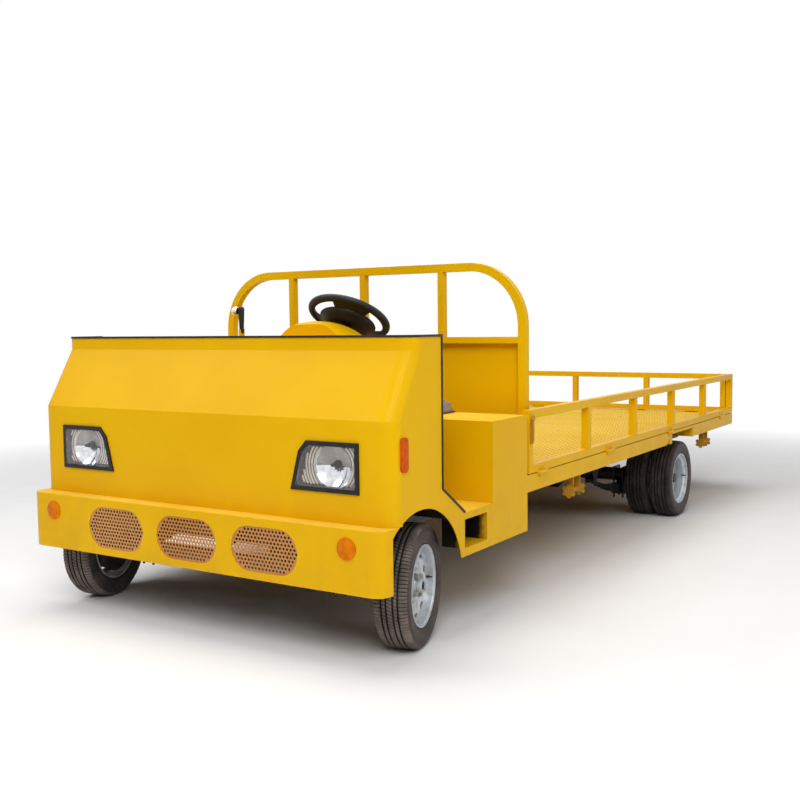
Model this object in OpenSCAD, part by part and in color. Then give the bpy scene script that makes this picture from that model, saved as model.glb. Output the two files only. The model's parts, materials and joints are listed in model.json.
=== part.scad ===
// Open-cab electric flatbed truck with a folded sheet-metal nose cab, a tube
// headboard, a chequer-plate deck with three drop sides and twin rear wheels.
// Millimetres. X points to the vehicle's left, Y back along it, Z up.
// Sizes along the vehicle are measured back from the bumper's face, and
// heights up from the ground. The finished model is centred on its own box.

/* [Body] */
// Width over the cab, the skirts and the load bed
body_w = 1980; // [1800:10:2200]
// Thickness of the folded body sheet
sheet = 4; // [3:0.5:6]
// Length from the bumper's face to the rear edge of the load bed
body_l = 4978; // [4500:10:5600]

/* [Bumper] */
// Lower edge of the bumper above the ground
bumper_low = 297; // [250:1:340]
// Shelf on top of the bumper above the ground
bumper_top = 547; // [520:1:600]
// Plan radius of the bumper's ends
bumper_r = 60; // [30:1:70]
// Depth of the lip folded back along the bumper's lower edge
bumper_lip = 25; // [12:1:32]
// Length of one grille oval
grille_w = 341; // [280:1:380]
// Height of one grille oval
grille_h = 184; // [140:1:190]
// Distance between the centres of the grille ovals
grille_pitch = 424; // [400:1:440]
// Height of the grille's centre above the ground
grille_z = 421; // [405:1:440]
// Diameter of one hole in the perforated grille sheet
grille_hole = 11.5; // [8:0.5:14]
// Distance between neighbouring holes of the grille sheet
grille_hole_pitch = 18; // [17:0.5:26]

/* [Nose] */
// Setback of the upright front panel behind the bumper's face
nose_set = 80; // [60:1:110]
// Plan radius of the nose's corners
nose_r = 65; // [30:1:90]
// Height of the lower crease, where the front starts to slope
crease_low = 948; // [880:1:1000]
// Height of the upper crease, where the slope ends
crease_high = 1209; // [1150:1:1225]
// Setback of the upright band above the upper crease
band_set = 232; // [180:1:260]
// Height of the nose's top edge
cab_top = 1261; // [1240:1:1300]

/* [Door opening and seat box] */
// Rear edge of the nose's side panel
door_edge = 442; // [420:1:480]
// Height at which the door edge turns into the diagonal
door_low = 645; // [600:1:700]
// Place where the diagonal meets the floor
step_front = 628; // [615:1:660]
// Height of the cab floor
floor_top = 520; // [516:1:540]
// Front face of the seat box
seat_front = 888; // [860:1:920]
// Height of the seat box
seat_top = 882; // [840:1:920]
// Rear edge of the cab's side panels
cab_rear = 1243; // [1230:1:1260]
// Lower edge of the skirts
skirt_low = 334; // [310:1:345]
// Length of the step pocket in the skirt
pocket_l = 201; // [150:1:220]
// Height of the step pocket in the skirt
pocket_h = 121; // [90:1:125]
// Depth of the step pocket
pocket_d = 110; // [80:1:120]
// Front edge of the step pocket
pocket_y = 631; // [628:1:650]
// Lower edge of the step pocket
pocket_z = 370; // [365:1:385]
// Thickness of the bench cushion
cushion_h = 62; // [45:1:80]
// Length of the bench cushion across the cab
cushion_w = 1240; // [1000:2:1700]
// Depth of the bench cushion along the vehicle
cushion_l = 336; // [280:1:345]

/* [Front wheel arch] */
// Radius of the wheel arch
arch_r = 325; // [315:1:330]
// Centre of the wheel arch behind the bumper's face
arch_y = 285; // [275:1:290]
// Height of the wheel arch's centre
arch_z = 264; // [255:1:270]
// Front edge of the wheel arch, at the bumper's end
arch_front = 75; // [72:1:80]

/* [Wheels] */
// Outer diameter of every tyre
tyre_d = 508; // [480:2:516]
// Width of every tyre
tyre_w = 145; // [130:1:150]
// Diameter of the rim seat under the tyre
rim_d = 330; // [320:1:340]
// Front axle behind the bumper's face
front_axle_y = 355; // [350:1:365]
// Outer side of the front tyres from the centre line, when they stand straight
front_wheel_x = 940; // [930:1:945]
// Rear axle behind the bumper's face
rear_axle_y = 3680; // [3600:1:3760]
// Outer side of the rear tyres from the centre line
rear_wheel_x = 985; // [970:1:990]
// Gap between the twin rear tyres
twin_gap = 25; // [15:1:40]

/* [Steering] */
// Distance of the kingpins from the centre line
kingpin_x = 745; // [735:1:750]
// Diameter of the kingpins
kingpin_d = 32; // [26:1:36]
// Length of the knuckle arms and of the drop arm
arm_l = 150; // [140:1:165]
// Angle to the left at which the front wheels stand
park_steer = 14; // [-28:1:28]
// Turns of the steering wheel for one turn of the knuckles
steer_ratio = 15.5; // [12:0.5:20]
// Diameter of the steering wheel
wheel_d = 380; // [340:2:420]
// Thickness of the steering wheel's rim
wheel_rim = 30; // [24:1:34]
// Lean of the steering column away from upright
column_lean = 30; // [25:1:34]
// Steering wheel's centre from the centre line
wheel_x = 377; // [372:1:390]
// Steering wheel's centre behind the bumper's face
wheel_y = 680; // [670:1:700]
// Height of the steering wheel's centre
wheel_z = 1345; // [1330:1:1360]
// Diameter of the column tube
column_d = 44; // [36:1:50]

/* [Chassis] */
// Outer width over the two chassis rails
rails_w = 1180; // [1160:2:1190]
// Width of one chassis rail's flanges
rail_flange = 60; // [50:1:70]
// Lower face of the chassis rails
rail_low = 395; // [385:1:405]
// Thickness of the chassis rail's web and flanges
rail_t = 6; // [4:0.5:8]
// Span of the front leaf springs
front_spring_l = 540; // [500:2:550]
// Span of the rear leaf springs
rear_spring_l = 1120; // [1000:2:1160]
// Rise of the front leaf springs from their middle to their eyes
front_spring_rise = 52; // [40:1:60]
// Rise of the rear leaf springs from their middle to their eyes
rear_spring_rise = 85; // [60:1:95]
// Width of the spring leaves
leaf_w = 50; // [40:1:60]
// Thickness of one spring leaf
leaf_t = 7; // [5:0.5:9]

/* [Load bed] */
// Lower edge of the bed's side rails
bed_low = 515; // [512:1:518]
// Top of the bed's side rails and of the deck
bed_top = 595; // [585:1:610]
// Width of the bed's side rails and thickness of the gates
bed_rail = 40; // [34:1:46]
// Thickness of the chequer-plate deck
deck_t = 5; // [4:0.5:8]
// Gap between the bed's rails and the gates above them
gate_gap = 5; // [5:0.5:8]
// Height of the gates' top edge
gate_top = 901; // [860:1:960]
// Front end of the side gates
gate_front = 1265; // [1260:1:1290]
// Posts in each side gate
gate_posts = 6; // [4:1:8]
// Distance of a gate's hinge axis outside the bed's rail
hinge_out = 12; // [11:0.5:16]
// Diameter of the hinge pins
hinge_pin_d = 8; // [6:0.5:10]
// Outer diameter of the hinge barrels
hinge_barrel_d = 16; // [14:0.5:18]

/* [Headboard] */
// Distance of the headboard's hoop from the body's sides
hoop_inset = 52; // [48:1:90]
// Height of the hoop's top edge
hoop_top = 1608; // [1550:1:1700]
// Outer bend radius of the hoop
hoop_r = 310; // [200:1:340]
// Side of the hoop's square tube
hoop_tube = 40; // [34:1:50]
// Front face of the hoop
hoop_y = 1334; // [1320:1:1345]
// Top of the cross tube in the hoop
hoop_mid = 1246; // [1220:1:1280]
// Side of the headboard's upright bars
hoop_bar = 31; // [26:1:40]
// Distance between the headboard's upright bars
hoop_bar_pitch = 472; // [440:1:490]

/* [Lamps] */
// Distance of a headlamp's outer end from the body's side
lamp_inset = 156; // [140:1:170]
// Length of a headlamp along its lower edge
lamp_w = 320; // [290:1:335]
// Lower edge of the headlamps
lamp_low = 668; // [650:1:690]
// Height of a headlamp
lamp_h = 190; // [170:1:210]
// Depth of the lamp's reflector behind the panel
lamp_depth = 90; // [70:1:110]
// Diameter of the round amber lamps in the bumper
indicator_d = 86; // [70:1:95]
// Distance of the amber lamps from the centre line
indicator_x = 830; // [825:1:840]
// Height of the amber lamps
indicator_z = 472; // [465:1:485]

/* [Tow clevis] */
// Diameter of the tow pin's bore
tow_bore = 26; // [20:0.5:32]

/* [Hidden] */
$fn = 48;

// Colours
body_yellow = [0.90, 0.70, 0.04];
trim_black = [0.07, 0.06, 0.06];
frame_black = [0.10, 0.10, 0.10];
rubber = [0.12, 0.11, 0.10];
steel_grey = [0.62, 0.64, 0.66];
amber = [0.92, 0.50, 0.06];

// Half widths and shared levels
half_w = body_w / 2;
inner_w = half_w - sheet;
run_fit = 0.05;
seat_gap = 0.3;
moving_gap = 6;
axle_z = tyre_d / 2;
front_centre_x = front_wheel_x - tyre_w / 2;
rear_outer_x = rear_wheel_x - tyre_w / 2;
rear_inner_x = rear_outer_x - tyre_w - twin_gap;
rear_inner_side = rear_inner_x - tyre_w / 2;
rail_x = rails_w / 2;
rail_inner = rail_x - rail_flange;
rail_mid = rail_x - rail_flange / 2;
gate_low = bed_top + gate_gap;
gate_in = half_w - bed_rail;
hinge_x = half_w + hinge_out;
hinge_y = body_l + hinge_out;
hinge_z = bed_top + gate_gap / 2;
indicator_dome = 12;
indicator_dome_r = 100;
hoop_w = body_w - 2 * hoop_inset;
lamp_out = half_w - lamp_inset;

// Middle of the whole model along the vehicle
rear_most = hinge_y + hinge_barrel_d / 2;
mid_y = (rear_most - indicator_dome) / 2;

// Steering linkage levels
arm_z = axle_z - 46;
arm_t = 16;
rod_z = arm_z + 26;
rod_r = 13;
rod_eye_h = 24;
drop_arm_x = 440;
drop_arm_z = axle_z + 54;
arm_end = [-arm_l * sin(park_steer), front_axle_y + arm_l * cos(park_steer)];
link_pin_d = 16;

// Turned to the parked steer angle about an upright axis at x on the front axle
module steered(x) {
    translate([x, front_axle_y, 0]) rotate(park_steer) children();
}

// Places the model so that its box is centred on the origin
module placed() {
    translate([0, -mid_y, 0]) children();
}

// Box between two corners
module box(low, high) {
    translate(low) cube(high - low);
}

// Outline in Y and Z, carried along X from x0 over a length
module across(x0, length) {
    translate([x0, 0, 0]) rotate([90, 0, 90]) linear_extrude(length) children();
}

// Outline in X and Z, carried along Y from y0 over a length
module along(y0, length) {
    translate([0, y0 + length, 0]) rotate([90, 0, 0]) linear_extrude(length) children();
}

// Both sides of the vehicle
module both_sides() {
    children();
    mirror([1, 0, 0]) children();
}

// Round bar along X, from x0 over a length
module bar_x(x0, y, z, d, length) {
    translate([x0, y, z]) rotate([0, 90, 0]) cylinder(d = d, h = length);
}

// Round bar along Y, from y0 over a length
module bar_y(x, y0, z, d, length) {
    translate([x, y0, z]) rotate([-90, 0, 0]) cylinder(d = d, h = length);
}

// Rectangle with round corners, centred
module round_rect(w, h, r) {
    square([w - 2 * r, h], center = true);
    square([w, h - 2 * r], center = true);
    for (sx = [-1, 1], sy = [-1, 1])
        translate([sx * (w / 2 - r), sy * (h / 2 - r)]) circle(r);
}

// Plan outline with two round front corners
module nose_plan(half, front, back, r) {
    intersection() {
        union() {
            translate([-half, front + r]) square([2 * half, back - front]);
            translate([-half + r, front]) square([2 * (half - r), r + 1]);
            for (s = [-1, 1]) translate([s * (half - r), front + r]) circle(r);
        }
        translate([-half - 1, front - 1]) square([2 * half + 2, back - front + 1]);
    }
}

// Wheel arch cut through a side
module arch_cut(depth) {
    across(half_w - depth, 2 * depth) intersection() {
        translate([arch_y, arch_z]) circle(arch_r);
        translate([arch_front, 0]) square([arch_r * 2, arch_r * 3]);
    }
}

// Chassis

module rail_profile() {
    difference() {
        translate([rail_inner, rail_low]) square([rail_flange, bed_low - rail_low]);
        translate([rail_inner - 1, rail_low + rail_t])
            square([rail_flange - rail_t + 1, bed_low - rail_low - 2 * rail_t]);
    }
}

chassis_front = 70;
strut_w = 36;
chassis_rear = body_l - 78;
cross_w = 60;
cross_y = [chassis_front, 780, 1290, 2260, 3000, 4200, chassis_rear - cross_w];
battery_front = cab_rear + 120;
battery_l = 760;

battery_w = 640;

module chassis_frame() {
    rail_web = rail_x - rail_t - seat_gap;
    color(frame_black) placed() {
        both_sides() along(chassis_front, chassis_rear - chassis_front) rail_profile();
        // Cross-members between the webs of the channels
        for (y = cross_y)
            box([-rail_web, y, rail_low + 25], [rail_web, y + cross_w, bed_low - 25]);
        // Cradle bars under the battery box
        for (y = [battery_front + 80, battery_front + battery_l - 80 - cross_w])
            box([-rail_x, y, rail_low - 20], [rail_x, y + cross_w, rail_low - seat_gap]);
        // Struts between the grilles that carry the bumper
        both_sides() box([grille_pitch / 2 - strut_w / 2, sheet, rail_low + 25],
                         [grille_pitch / 2 + strut_w / 2, chassis_front - seat_gap, bed_low - 25]);
    }
}

axle_beam = 60;
eye_d = 60;
eye_h = 70;

module front_axle_beam() {
    color(frame_black) placed() difference() {
        union() {
            box([-kingpin_x, front_axle_y - axle_beam / 2, axle_z - axle_beam / 2],
                [kingpin_x, front_axle_y + axle_beam / 2, axle_z + axle_beam / 2]);
            for (s = [-1, 1])
                translate([s * kingpin_x, front_axle_y, axle_z - eye_h / 2]) cylinder(d = eye_d, h = eye_h);
        }
        for (s = [-1, 1])
            translate([s * kingpin_x, front_axle_y, 0]) cylinder(d = kingpin_d + 2 * run_fit, h = tyre_d);
        // Ends are waisted so that the knuckle's forks can swing
        for (s = [-1, 1], v = [-1, 1])
            translate([s * kingpin_x, front_axle_y, axle_z + v * (eye_h / 2 + 50)])
                cylinder(r = 90, h = 100, center = true);
    }
}

rear_tube_d = 90;
spring_pad = 8;
rear_stub_d = 60;
banjo_r = 130;
banjo_w = 220;

module rear_axle() {
    color(frame_black) placed() translate([0, rear_axle_y, axle_z]) {
        bar_x(-rear_inner_side + 20, 0, 0, rear_tube_d, 2 * (rear_inner_side - 20));
        for (s = [0, 180]) rotate([0, 0, s])
            bar_x(0, 0, 0, rear_stub_d, rear_outer_x + 30);
        rotate([0, 90, 0]) rotate_extrude() {
            square([banjo_r, banjo_w / 2 - 40]);
            translate([0, -banjo_w / 2 + 40]) square([banjo_r, banjo_w / 2 - 40]);
            translate([0, -banjo_w / 2]) square([banjo_r - 40, banjo_w]);
            for (v = [-1, 1]) intersection() {
                translate([banjo_r - 40, v * (banjo_w / 2 - 40)]) circle(40);
                translate([0, -banjo_w / 2]) square([banjo_r, banjo_w]);
            }
        }
        // Pads that the springs hang under
        both_sides() box([rail_mid - leaf_w / 2, -20, -rear_tube_d / 2 - spring_pad],
                         [rail_mid + leaf_w / 2, 20, -rear_tube_d / 4]);
    }
}

spring_eye_d = 36;
hanger_t = 8;
bolt_d = 12;
seat_l = 60;
seat_cut = 1;

// One pack of curved leaves, each shorter than the one above, with rolled eyes
module leaf_pack(span, rise, top_z, leaves) {
    main_r = (span * span / 4 + rise * rise) / (2 * rise);
    low_z = top_z - leaves * leaf_t;
    across(-leaf_w / 2, leaf_w) {
        difference() {
            for (i = [0 : leaves - 1]) {
                half_l = span / 2 * (1 - i / (leaves + 0.6));
                intersection() {
                    translate([0, top_z + main_r]) circle(main_r + (i + 1) * leaf_t, $fn = 360);
                    translate([-half_l, low_z - 1]) square([2 * half_l, top_z + rise - low_z + 1]);
                }
            }
            translate([0, top_z + main_r]) circle(main_r, $fn = 360);
            // Flat seat in the middle
            translate([-seat_l / 2, top_z - seat_cut]) square([seat_l, leaf_t]);
        }
        for (s = [-1, 1]) translate([s * span / 2, top_z + rise]) circle(d = spring_eye_d);
    }
}

// Bracket with two cheeks that holds a spring's eye under the rail
module hanger(eye_z, length) {
    inner = leaf_w / 2 + seat_gap;
    top = rail_low - seat_gap;
    for (s = [0, 1]) mirror([s, 0, 0]) across(inner, hanger_t) {
        translate([0, eye_z]) circle(d = spring_eye_d + 6);
        polygon([
            [-spring_eye_d / 2, eye_z], [-length / 2, top], [length / 2, top], [spring_eye_d / 2, eye_z]
        ]);
    }
    box([-inner - 1, -length / 2, top - hanger_t], [inner + 1, length / 2, top]);
}

// Clamp bolts through a plate below, joined in pairs by bars above, along X or along Y
module spring_clamp(half_depth, bar_z, plate_z, along_y) {
    half = [leaf_w / 2 + bolt_d / 2 + 1, half_depth + bolt_d / 2 + 1];
    bar = along_y ? [bolt_d, 2 * half[1] + bolt_d] : [2 * half[0] + bolt_d, bolt_d];
    for (s = [-1, 1], t = [-1, 1])
        translate([s * half[0], t * half[1], plate_z - 40]) cylinder(d = bolt_d, h = bar_z - plate_z + 42);
    for (s = [-1, 1])
        translate([along_y ? s * half[0] : 0, along_y ? 0 : s * half[1], bar_z]) linear_extrude(bolt_d)
            square(bar, center = true);
    translate([0, 0, plate_z - bolt_d]) linear_extrude(bolt_d)
        square([2 * half[0] + 2 * bolt_d, 2 * half[1] + 2 * bolt_d], center = true);
}

front_leaves = 4;
rear_leaves = 9;
front_spring_top = axle_z + axle_beam / 2 + front_leaves * leaf_t;
rear_spring_top = axle_z - rear_tube_d / 2 - spring_pad - seat_gap + seat_cut;

module leaf_springs() {
    color(frame_black) placed() both_sides() {
        translate([rail_mid, front_axle_y, 0]) {
            leaf_pack(front_spring_l, front_spring_rise, front_spring_top, front_leaves);
            for (s = [-1, 1]) translate([0, s * front_spring_l / 2, 0])
                hanger(front_spring_top + front_spring_rise, 70);
            spring_clamp(axle_beam / 2, front_spring_top + 2, axle_z - axle_beam / 2 - seat_gap, false);
        }
        translate([rail_mid, rear_axle_y, 0]) {
            leaf_pack(rear_spring_l, rear_spring_rise, rear_spring_top, rear_leaves);
            for (s = [-1, 1]) translate([0, s * rear_spring_l / 2, 0])
                hanger(rear_spring_top + rear_spring_rise, 150);
            spring_clamp(rear_tube_d / 2, axle_z + rear_tube_d / 2 + 1,
                rear_spring_top - rear_leaves * leaf_t - seat_gap, true);
        }
    }
}

motor_d = 210;
motor_l = 320;

module drive_motor() {
    neck = 60;
    color(frame_black) placed() translate([0, rear_axle_y - banjo_r - motor_l - neck, axle_z])
        rotate([-90, 0, 0]) {
            cylinder(d = motor_d, h = motor_l);
            translate([0, 0, -30]) cylinder(d = motor_d - 50, h = 31);
            translate([0, 0, motor_l - 1]) cylinder(d = motor_d - 80, h = neck + 1 - seat_gap);
        }
}

module battery_box() {
    color(frame_black) placed()
        box([-battery_w / 2, battery_front, rail_low],
            [battery_w / 2, battery_front + battery_l, bed_low - 2]);
}

hub_drop = 62;
shaft_d = 24;
shaft_end = 20;
gear_top = rail_low + 85;
gear_low = rail_low - 55;

module steering_gear() {
    // Length of the column from the gear's top to the hub
    column_l = (wheel_z - gear_top) / cos(column_lean) - hub_drop;
    color(frame_black) placed() {
        translate([wheel_x, wheel_y, wheel_z]) rotate([-column_lean, 0, 0]) {
            translate([0, 0, -hub_drop - column_l - 20]) cylinder(d = column_d, h = column_l + 20);
            translate([0, 0, -hub_drop - 1]) cylinder(d = shaft_d, h = hub_drop + 1 - shaft_end);
        }
        gear_y = wheel_y - (wheel_z - gear_top) * tan(column_lean);
        box([wheel_x - 35, gear_y - 45, gear_low], [drop_arm_x + 35, front_axle_y + 40, gear_top]);
        // Foot on the rail's lower flange
        box([drop_arm_x + 34, front_axle_y - 90, rail_low + rail_t + seat_gap],
            [rail_x - rail_t - 4, front_axle_y + 30, rail_low + rail_t + 20]);
        translate([drop_arm_x, front_axle_y, drop_arm_z + 16 + seat_gap])
            cylinder(d = 28, h = gear_low - drop_arm_z);
    }
}

// Nose, bumper and cab

module stadium(w, h) {
    square([w - h, h], center = true);
    for (s = [-1, 1]) translate([s * (w - h) / 2, 0]) circle(h / 2);
}

module bumper() {
    side_back = arch_y - 150;
    color(body_yellow) placed() difference() {
        union() {
            difference() {
                translate([0, 0, bumper_low]) linear_extrude(bumper_top - bumper_low)
                    nose_plan(half_w, 0, side_back, bumper_r);
                translate([0, 0, bumper_low - 1]) linear_extrude(bumper_top - bumper_low + 1 - sheet)
                    nose_plan(inner_w, sheet, side_back + 1, bumper_r - sheet);
                translate([0, 0, bumper_low - 1]) linear_extrude(bumper_top - bumper_low + 2)
                    nose_plan(half_w - sheet, nose_set, side_back + 1, nose_r);
            }
            translate([0, 0, bumper_low]) linear_extrude(sheet) difference() {
                nose_plan(half_w, 0, arch_front, bumper_r);
                nose_plan(half_w - bumper_lip, bumper_lip, arch_front + 1, bumper_r - bumper_lip);
            }
        }
        both_sides() arch_cut(bumper_lip * 2);
        for (i = [-1 : 1]) along(-1, sheet + 2)
            translate([i * grille_pitch, grille_z]) stadium(grille_w, grille_h);
    }
}

module grille_mesh() {
    border = 14;
    rows = floor(grille_h / 2 / (grille_hole_pitch * sin(60)));
    cols = floor(grille_w / 2 / grille_hole_pitch) + 1;
    color([0.80, 0.55, 0.20]) placed()
        for (i = [-1 : 1]) along(sheet, 2) translate([i * grille_pitch, grille_z]) difference() {
            stadium(grille_w + 2 * border, grille_h + 2 * border);
            for (r = [-rows : rows], c = [-cols : cols]) {
                hx = (c + (r % 2 == 0 ? 0 : 0.5)) * grille_hole_pitch;
                hz = r * grille_hole_pitch * sin(60);
                reach = max(abs(hx) - (grille_w - grille_h) / 2, 0);
                if (norm([reach, hz]) < grille_h / 2 - grille_hole / 2)
                    translate([hx, hz]) circle(d = grille_hole, $fn = 16);
            }
        }
}

// Solid nose with round corners that follow the sloping front
module nose_solid(inset) {
    half = half_w - inset;
    r = nose_r - inset;
    over = inset > 0 ? 2 : 0;
    module layer(z, h, front) {
        translate([0, 0, z]) linear_extrude(h) nose_plan(half, front, door_edge, r, $fn = 32);
    }
    layer(bumper_top - over, crease_low - bumper_top + over, nose_set + inset);
    hull() {
        layer(crease_low - 1, 1, nose_set + inset);
        layer(crease_high, 1, band_set + inset);
    }
    layer(crease_high, cab_top - crease_high + over, band_set + inset);
}

// Line where the nose's round corner runs out into the flat side, in Y and Z
seam = [
    [nose_set + nose_r, bumper_top], [nose_set + nose_r, crease_low],
    [band_set + nose_r, crease_high], [band_set + nose_r, cab_top]
];

// Outline of a headlamp, in X and Z
module lamp_outline(grow) {
    offset(delta = grow) polygon([
        [lamp_out, lamp_low], [lamp_out, lamp_low + lamp_h],
        [lamp_out - lamp_w + 76, lamp_low + lamp_h], [lamp_out - lamp_w + 40, lamp_low + lamp_h - 40],
        [lamp_out - lamp_w, lamp_low]
    ]);
}

module nose_panel() {
    color(body_yellow) placed() difference() {
        intersection() {
            difference() {
                nose_solid(0);
                nose_solid(sheet);
            }
            across(-half_w - 1, body_w + 2)
                polygon(concat([[0, cab_top + 1], [0, bumper_top - 1], [seam[0][0], bumper_top - 1]], seam,
                    [[seam[3][0], cab_top + 1]]));
        }
        both_sides() along(0, nose_set + nose_r) lamp_outline(0);
    }
}

// Flat side of the cab with its arch, door edge, skirt and step pocket
module side_panel() {
    difference() {
        union() {
            across(inner_w, sheet) polygon([
                seam[0], seam[1], seam[2], seam[3], [door_edge, cab_top], [door_edge, door_low],
                [step_front, floor_top], [seat_front, floor_top], [seat_front, seat_top],
                [cab_rear, seat_top], [cab_rear, skirt_low], [arch_y, skirt_low], [arch_y, bumper_top]
            ]);
            box([half_w - pocket_d, pocket_y - sheet, pocket_z - sheet],
                [half_w - sheet / 2, pocket_y + pocket_l + sheet, pocket_z + pocket_h + sheet]);
        }
        box([half_w - pocket_d + sheet, pocket_y, pocket_z],
            [half_w + 1, pocket_y + pocket_l, pocket_z + pocket_h]);
        arch_cut(2 * sheet);
    }
}

module side_panel_left() {
    color(body_yellow) placed() side_panel();
}

module side_panel_right() {
    color(body_yellow) placed() mirror([1, 0, 0]) side_panel();
}

house_in = 600;
house_back = arch_y + sqrt(arch_r * arch_r - (bed_low - arch_z) * (bed_low - arch_z)) + 8;
house_top = arch_z + arch_r + 10;

module cab_floor() {
    color(frame_black) placed() difference() {
        union() {
            box([-inner_w, nose_set + sheet, bed_low], [inner_w, seat_front, floor_top]);
            // Housings over the steered wheels
            both_sides()
                box([house_in - sheet, nose_set + sheet, bed_low], [inner_w, house_back, house_top]);
        }
        both_sides() box([house_in, 0, bed_low - 1], [half_w, house_back - sheet, house_top - sheet]);
        // Round front corners of the nose
        both_sides() translate([0, 0, bed_low - 1]) linear_extrude(house_top - bed_low + 2) difference() {
            translate([inner_w - nose_r, 0]) square(nose_set + nose_r);
            nose_plan(inner_w - seat_gap, nose_set + sheet, seat_front, nose_r - sheet);
        }
        // Slot for the steering column
        translate([wheel_x, wheel_y, wheel_z]) rotate([-column_lean, 0, 0])
            translate([0, 0, -1200]) cylinder(d = column_d + 20, h = 600);
    }
}

module seat_box() {
    color(body_yellow) placed() {
        box([-inner_w, seat_front, bed_low], [inner_w, seat_front + sheet, seat_top]);
        box([-inner_w, seat_front, seat_top - sheet], [inner_w, cab_rear, seat_top]);
        box([-inner_w, cab_rear - sheet, bed_low], [inner_w, cab_rear, seat_top]);
    }
}

dash_low = 1010;
dash_top = 1236;

module dash_panel() {
    color(body_yellow) placed() {
        across(-inner_w, 2 * inner_w) polygon([
            [band_set + nose_r, dash_top], [door_edge - sheet, dash_top], [door_edge - sheet, dash_low],
            [door_edge - 2 * sheet, dash_low], [door_edge - 2 * sheet, dash_top - sheet],
            [band_set + nose_r, dash_top - sheet]
        ]);
        box([-inner_w + nose_r, band_set + sheet, dash_top - sheet],
            [inner_w - nose_r, band_set + nose_r + 1, dash_top]);
    }
}

cowl_w = 312;
cowl_x = wheel_x - 46;
cowl_y = 500;
cowl_low = dash_low + 90;
cowl_top = 1329;
cowl_crown = 220;
cowl_bend = 150;

module steering_cowl() {
    color(body_yellow) placed() difference() {
        // Domed by a crown across the cab and a bend along it
        intersection() {
            bar_y(cowl_x, cowl_y - cowl_bend, cowl_top - cowl_crown, 2 * cowl_crown, 2 * cowl_bend);
            bar_x(cowl_x - cowl_crown, cowl_y, cowl_top - cowl_bend, 2 * cowl_bend, 2 * cowl_crown);
            box([cowl_x - cowl_w / 2, door_edge - sheet, cowl_low],
                [cowl_x + cowl_w / 2, cowl_y + cowl_bend, cowl_top]);
        }
        translate([wheel_x, wheel_y, wheel_z]) rotate([-column_lean, 0, 0])
            translate([0, 0, -600]) cylinder(d = column_d + 2, h = 800);
    }
}

trim_w = 12;
trim_h = 9;

module edge_trim() {
    module strip(a, b) {
        len_ab = norm(b - a);
        translate(a) rotate(atan2(b[1] - a[1], b[0] - a[0])) square([len_ab, trim_h]);
    }
    color(trim_black) placed() {
        both_sides() across(half_w - sheet / 2 - trim_w / 2, trim_w) {
            translate([band_set + nose_r, cab_top]) square([door_edge - band_set - nose_r + trim_h, trim_h]);
            translate([door_edge, door_low]) square([trim_h, cab_top - door_low + 1]);
            strip([door_edge, door_low], [step_front, floor_top]);
        }
        translate([0, 0, cab_top]) linear_extrude(trim_h) difference() {
            nose_plan(half_w + 4, band_set - 4, band_set + nose_r, nose_r + 4);
            nose_plan(half_w - 8, band_set + 8, band_set + nose_r + 1, nose_r - 8);
        }
    }
}

module seat_cushion() {
    color([0.42, 0.38, 0.36]) placed()
        translate([0, seat_front + 10 + cushion_l / 2, seat_top + seat_gap])
            linear_extrude(cushion_h) round_rect(cushion_w, cushion_l, 25);
}

lever_x = -190;
lever_y = 600;
lever_top = 1405;
lever_arm = [10, 30];
lever_base = [70, 140, 60];
grip_d = 30;
grip_h = 112;
knob_d = 42;
knob_out = 34;

module brake_lever() {
    grip_low = lever_top - grip_d / 2 - grip_h;
    color(trim_black) placed() translate([lever_x, lever_y, 0]) {
        box([-lever_base[0] / 2, -lever_base[1] / 2, floor_top],
            [lever_base[0] / 2, lever_base[1] / 2, floor_top + lever_base[2]]);
        box([-lever_arm[0] / 2, -lever_arm[1] / 2, floor_top + 1],
            [lever_arm[0] / 2, lever_arm[1] / 2, grip_low + 20]);
        // Grip that widens upwards, with a round knob beside its head
        translate([0, 0, grip_low]) cylinder(d1 = grip_d * 0.66, d2 = grip_d, h = grip_h);
        translate([0, 0, lever_top - grip_d / 2]) sphere(d = grip_d);
        translate([-knob_out, 0, lever_top - knob_d / 2]) sphere(d = knob_d);
        bar_x(-knob_out, 0, lever_top - knob_d / 2, 12, knob_out);
    }
}

module pedals() {
    color(trim_black) placed() for (x = [wheel_x - 140, wheel_x + 90]) {
        box([x - 35, nose_set + 190, floor_top + 90], [x + 35, nose_set + 202, floor_top + 200]);
        box([x - 8, nose_set + sheet, floor_top + 140], [x + 8, nose_set + 191, floor_top + 156]);
    }
}

bezel_w = 14;
bezel_out = 8;

module headlamp_bezels() {
    color(trim_black) placed() both_sides() {
        along(nose_set - bezel_out, bezel_out) difference() {
            lamp_outline(4);
            lamp_outline(-bezel_w);
        }
        along(nose_set - 1, lamp_depth + 1) difference() {
            lamp_outline(-seat_gap);
            lamp_outline(-bezel_w);
        }
    }
}

module headlamp_reflectors() {
    bowl_x = lamp_out - 130;
    bowl_z = lamp_low + lamp_h / 2;
    color([0.80, 0.81, 0.83]) placed() both_sides() difference() {
        along(nose_set + 22, lamp_depth - 22) lamp_outline(-bezel_w - seat_gap);
        translate([bowl_x, nose_set - 60, bowl_z]) sphere(r = 120);
    }
}

module headlamp_lenses() {
    color([0.85, 0.90, 0.95, 0.4]) placed() both_sides()
        along(nose_set - 4, 5) lamp_outline(-bezel_w - seat_gap);
}

module front_indicators() {
    color(amber) placed() both_sides() translate([indicator_x, 0, indicator_z]) rotate([90, 0, 0])
        rotate_extrude() {
            square([indicator_d / 2, 5]);
            intersection() {
                square([indicator_d / 2 - 4, indicator_dome]);
                translate([0, indicator_dome - indicator_dome_r]) circle(indicator_dome_r);
            }
        }
}

marker_w = 46;
marker_h = 132;
marker_r = 16;
marker_t = 10;
marker_z = 818;

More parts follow.
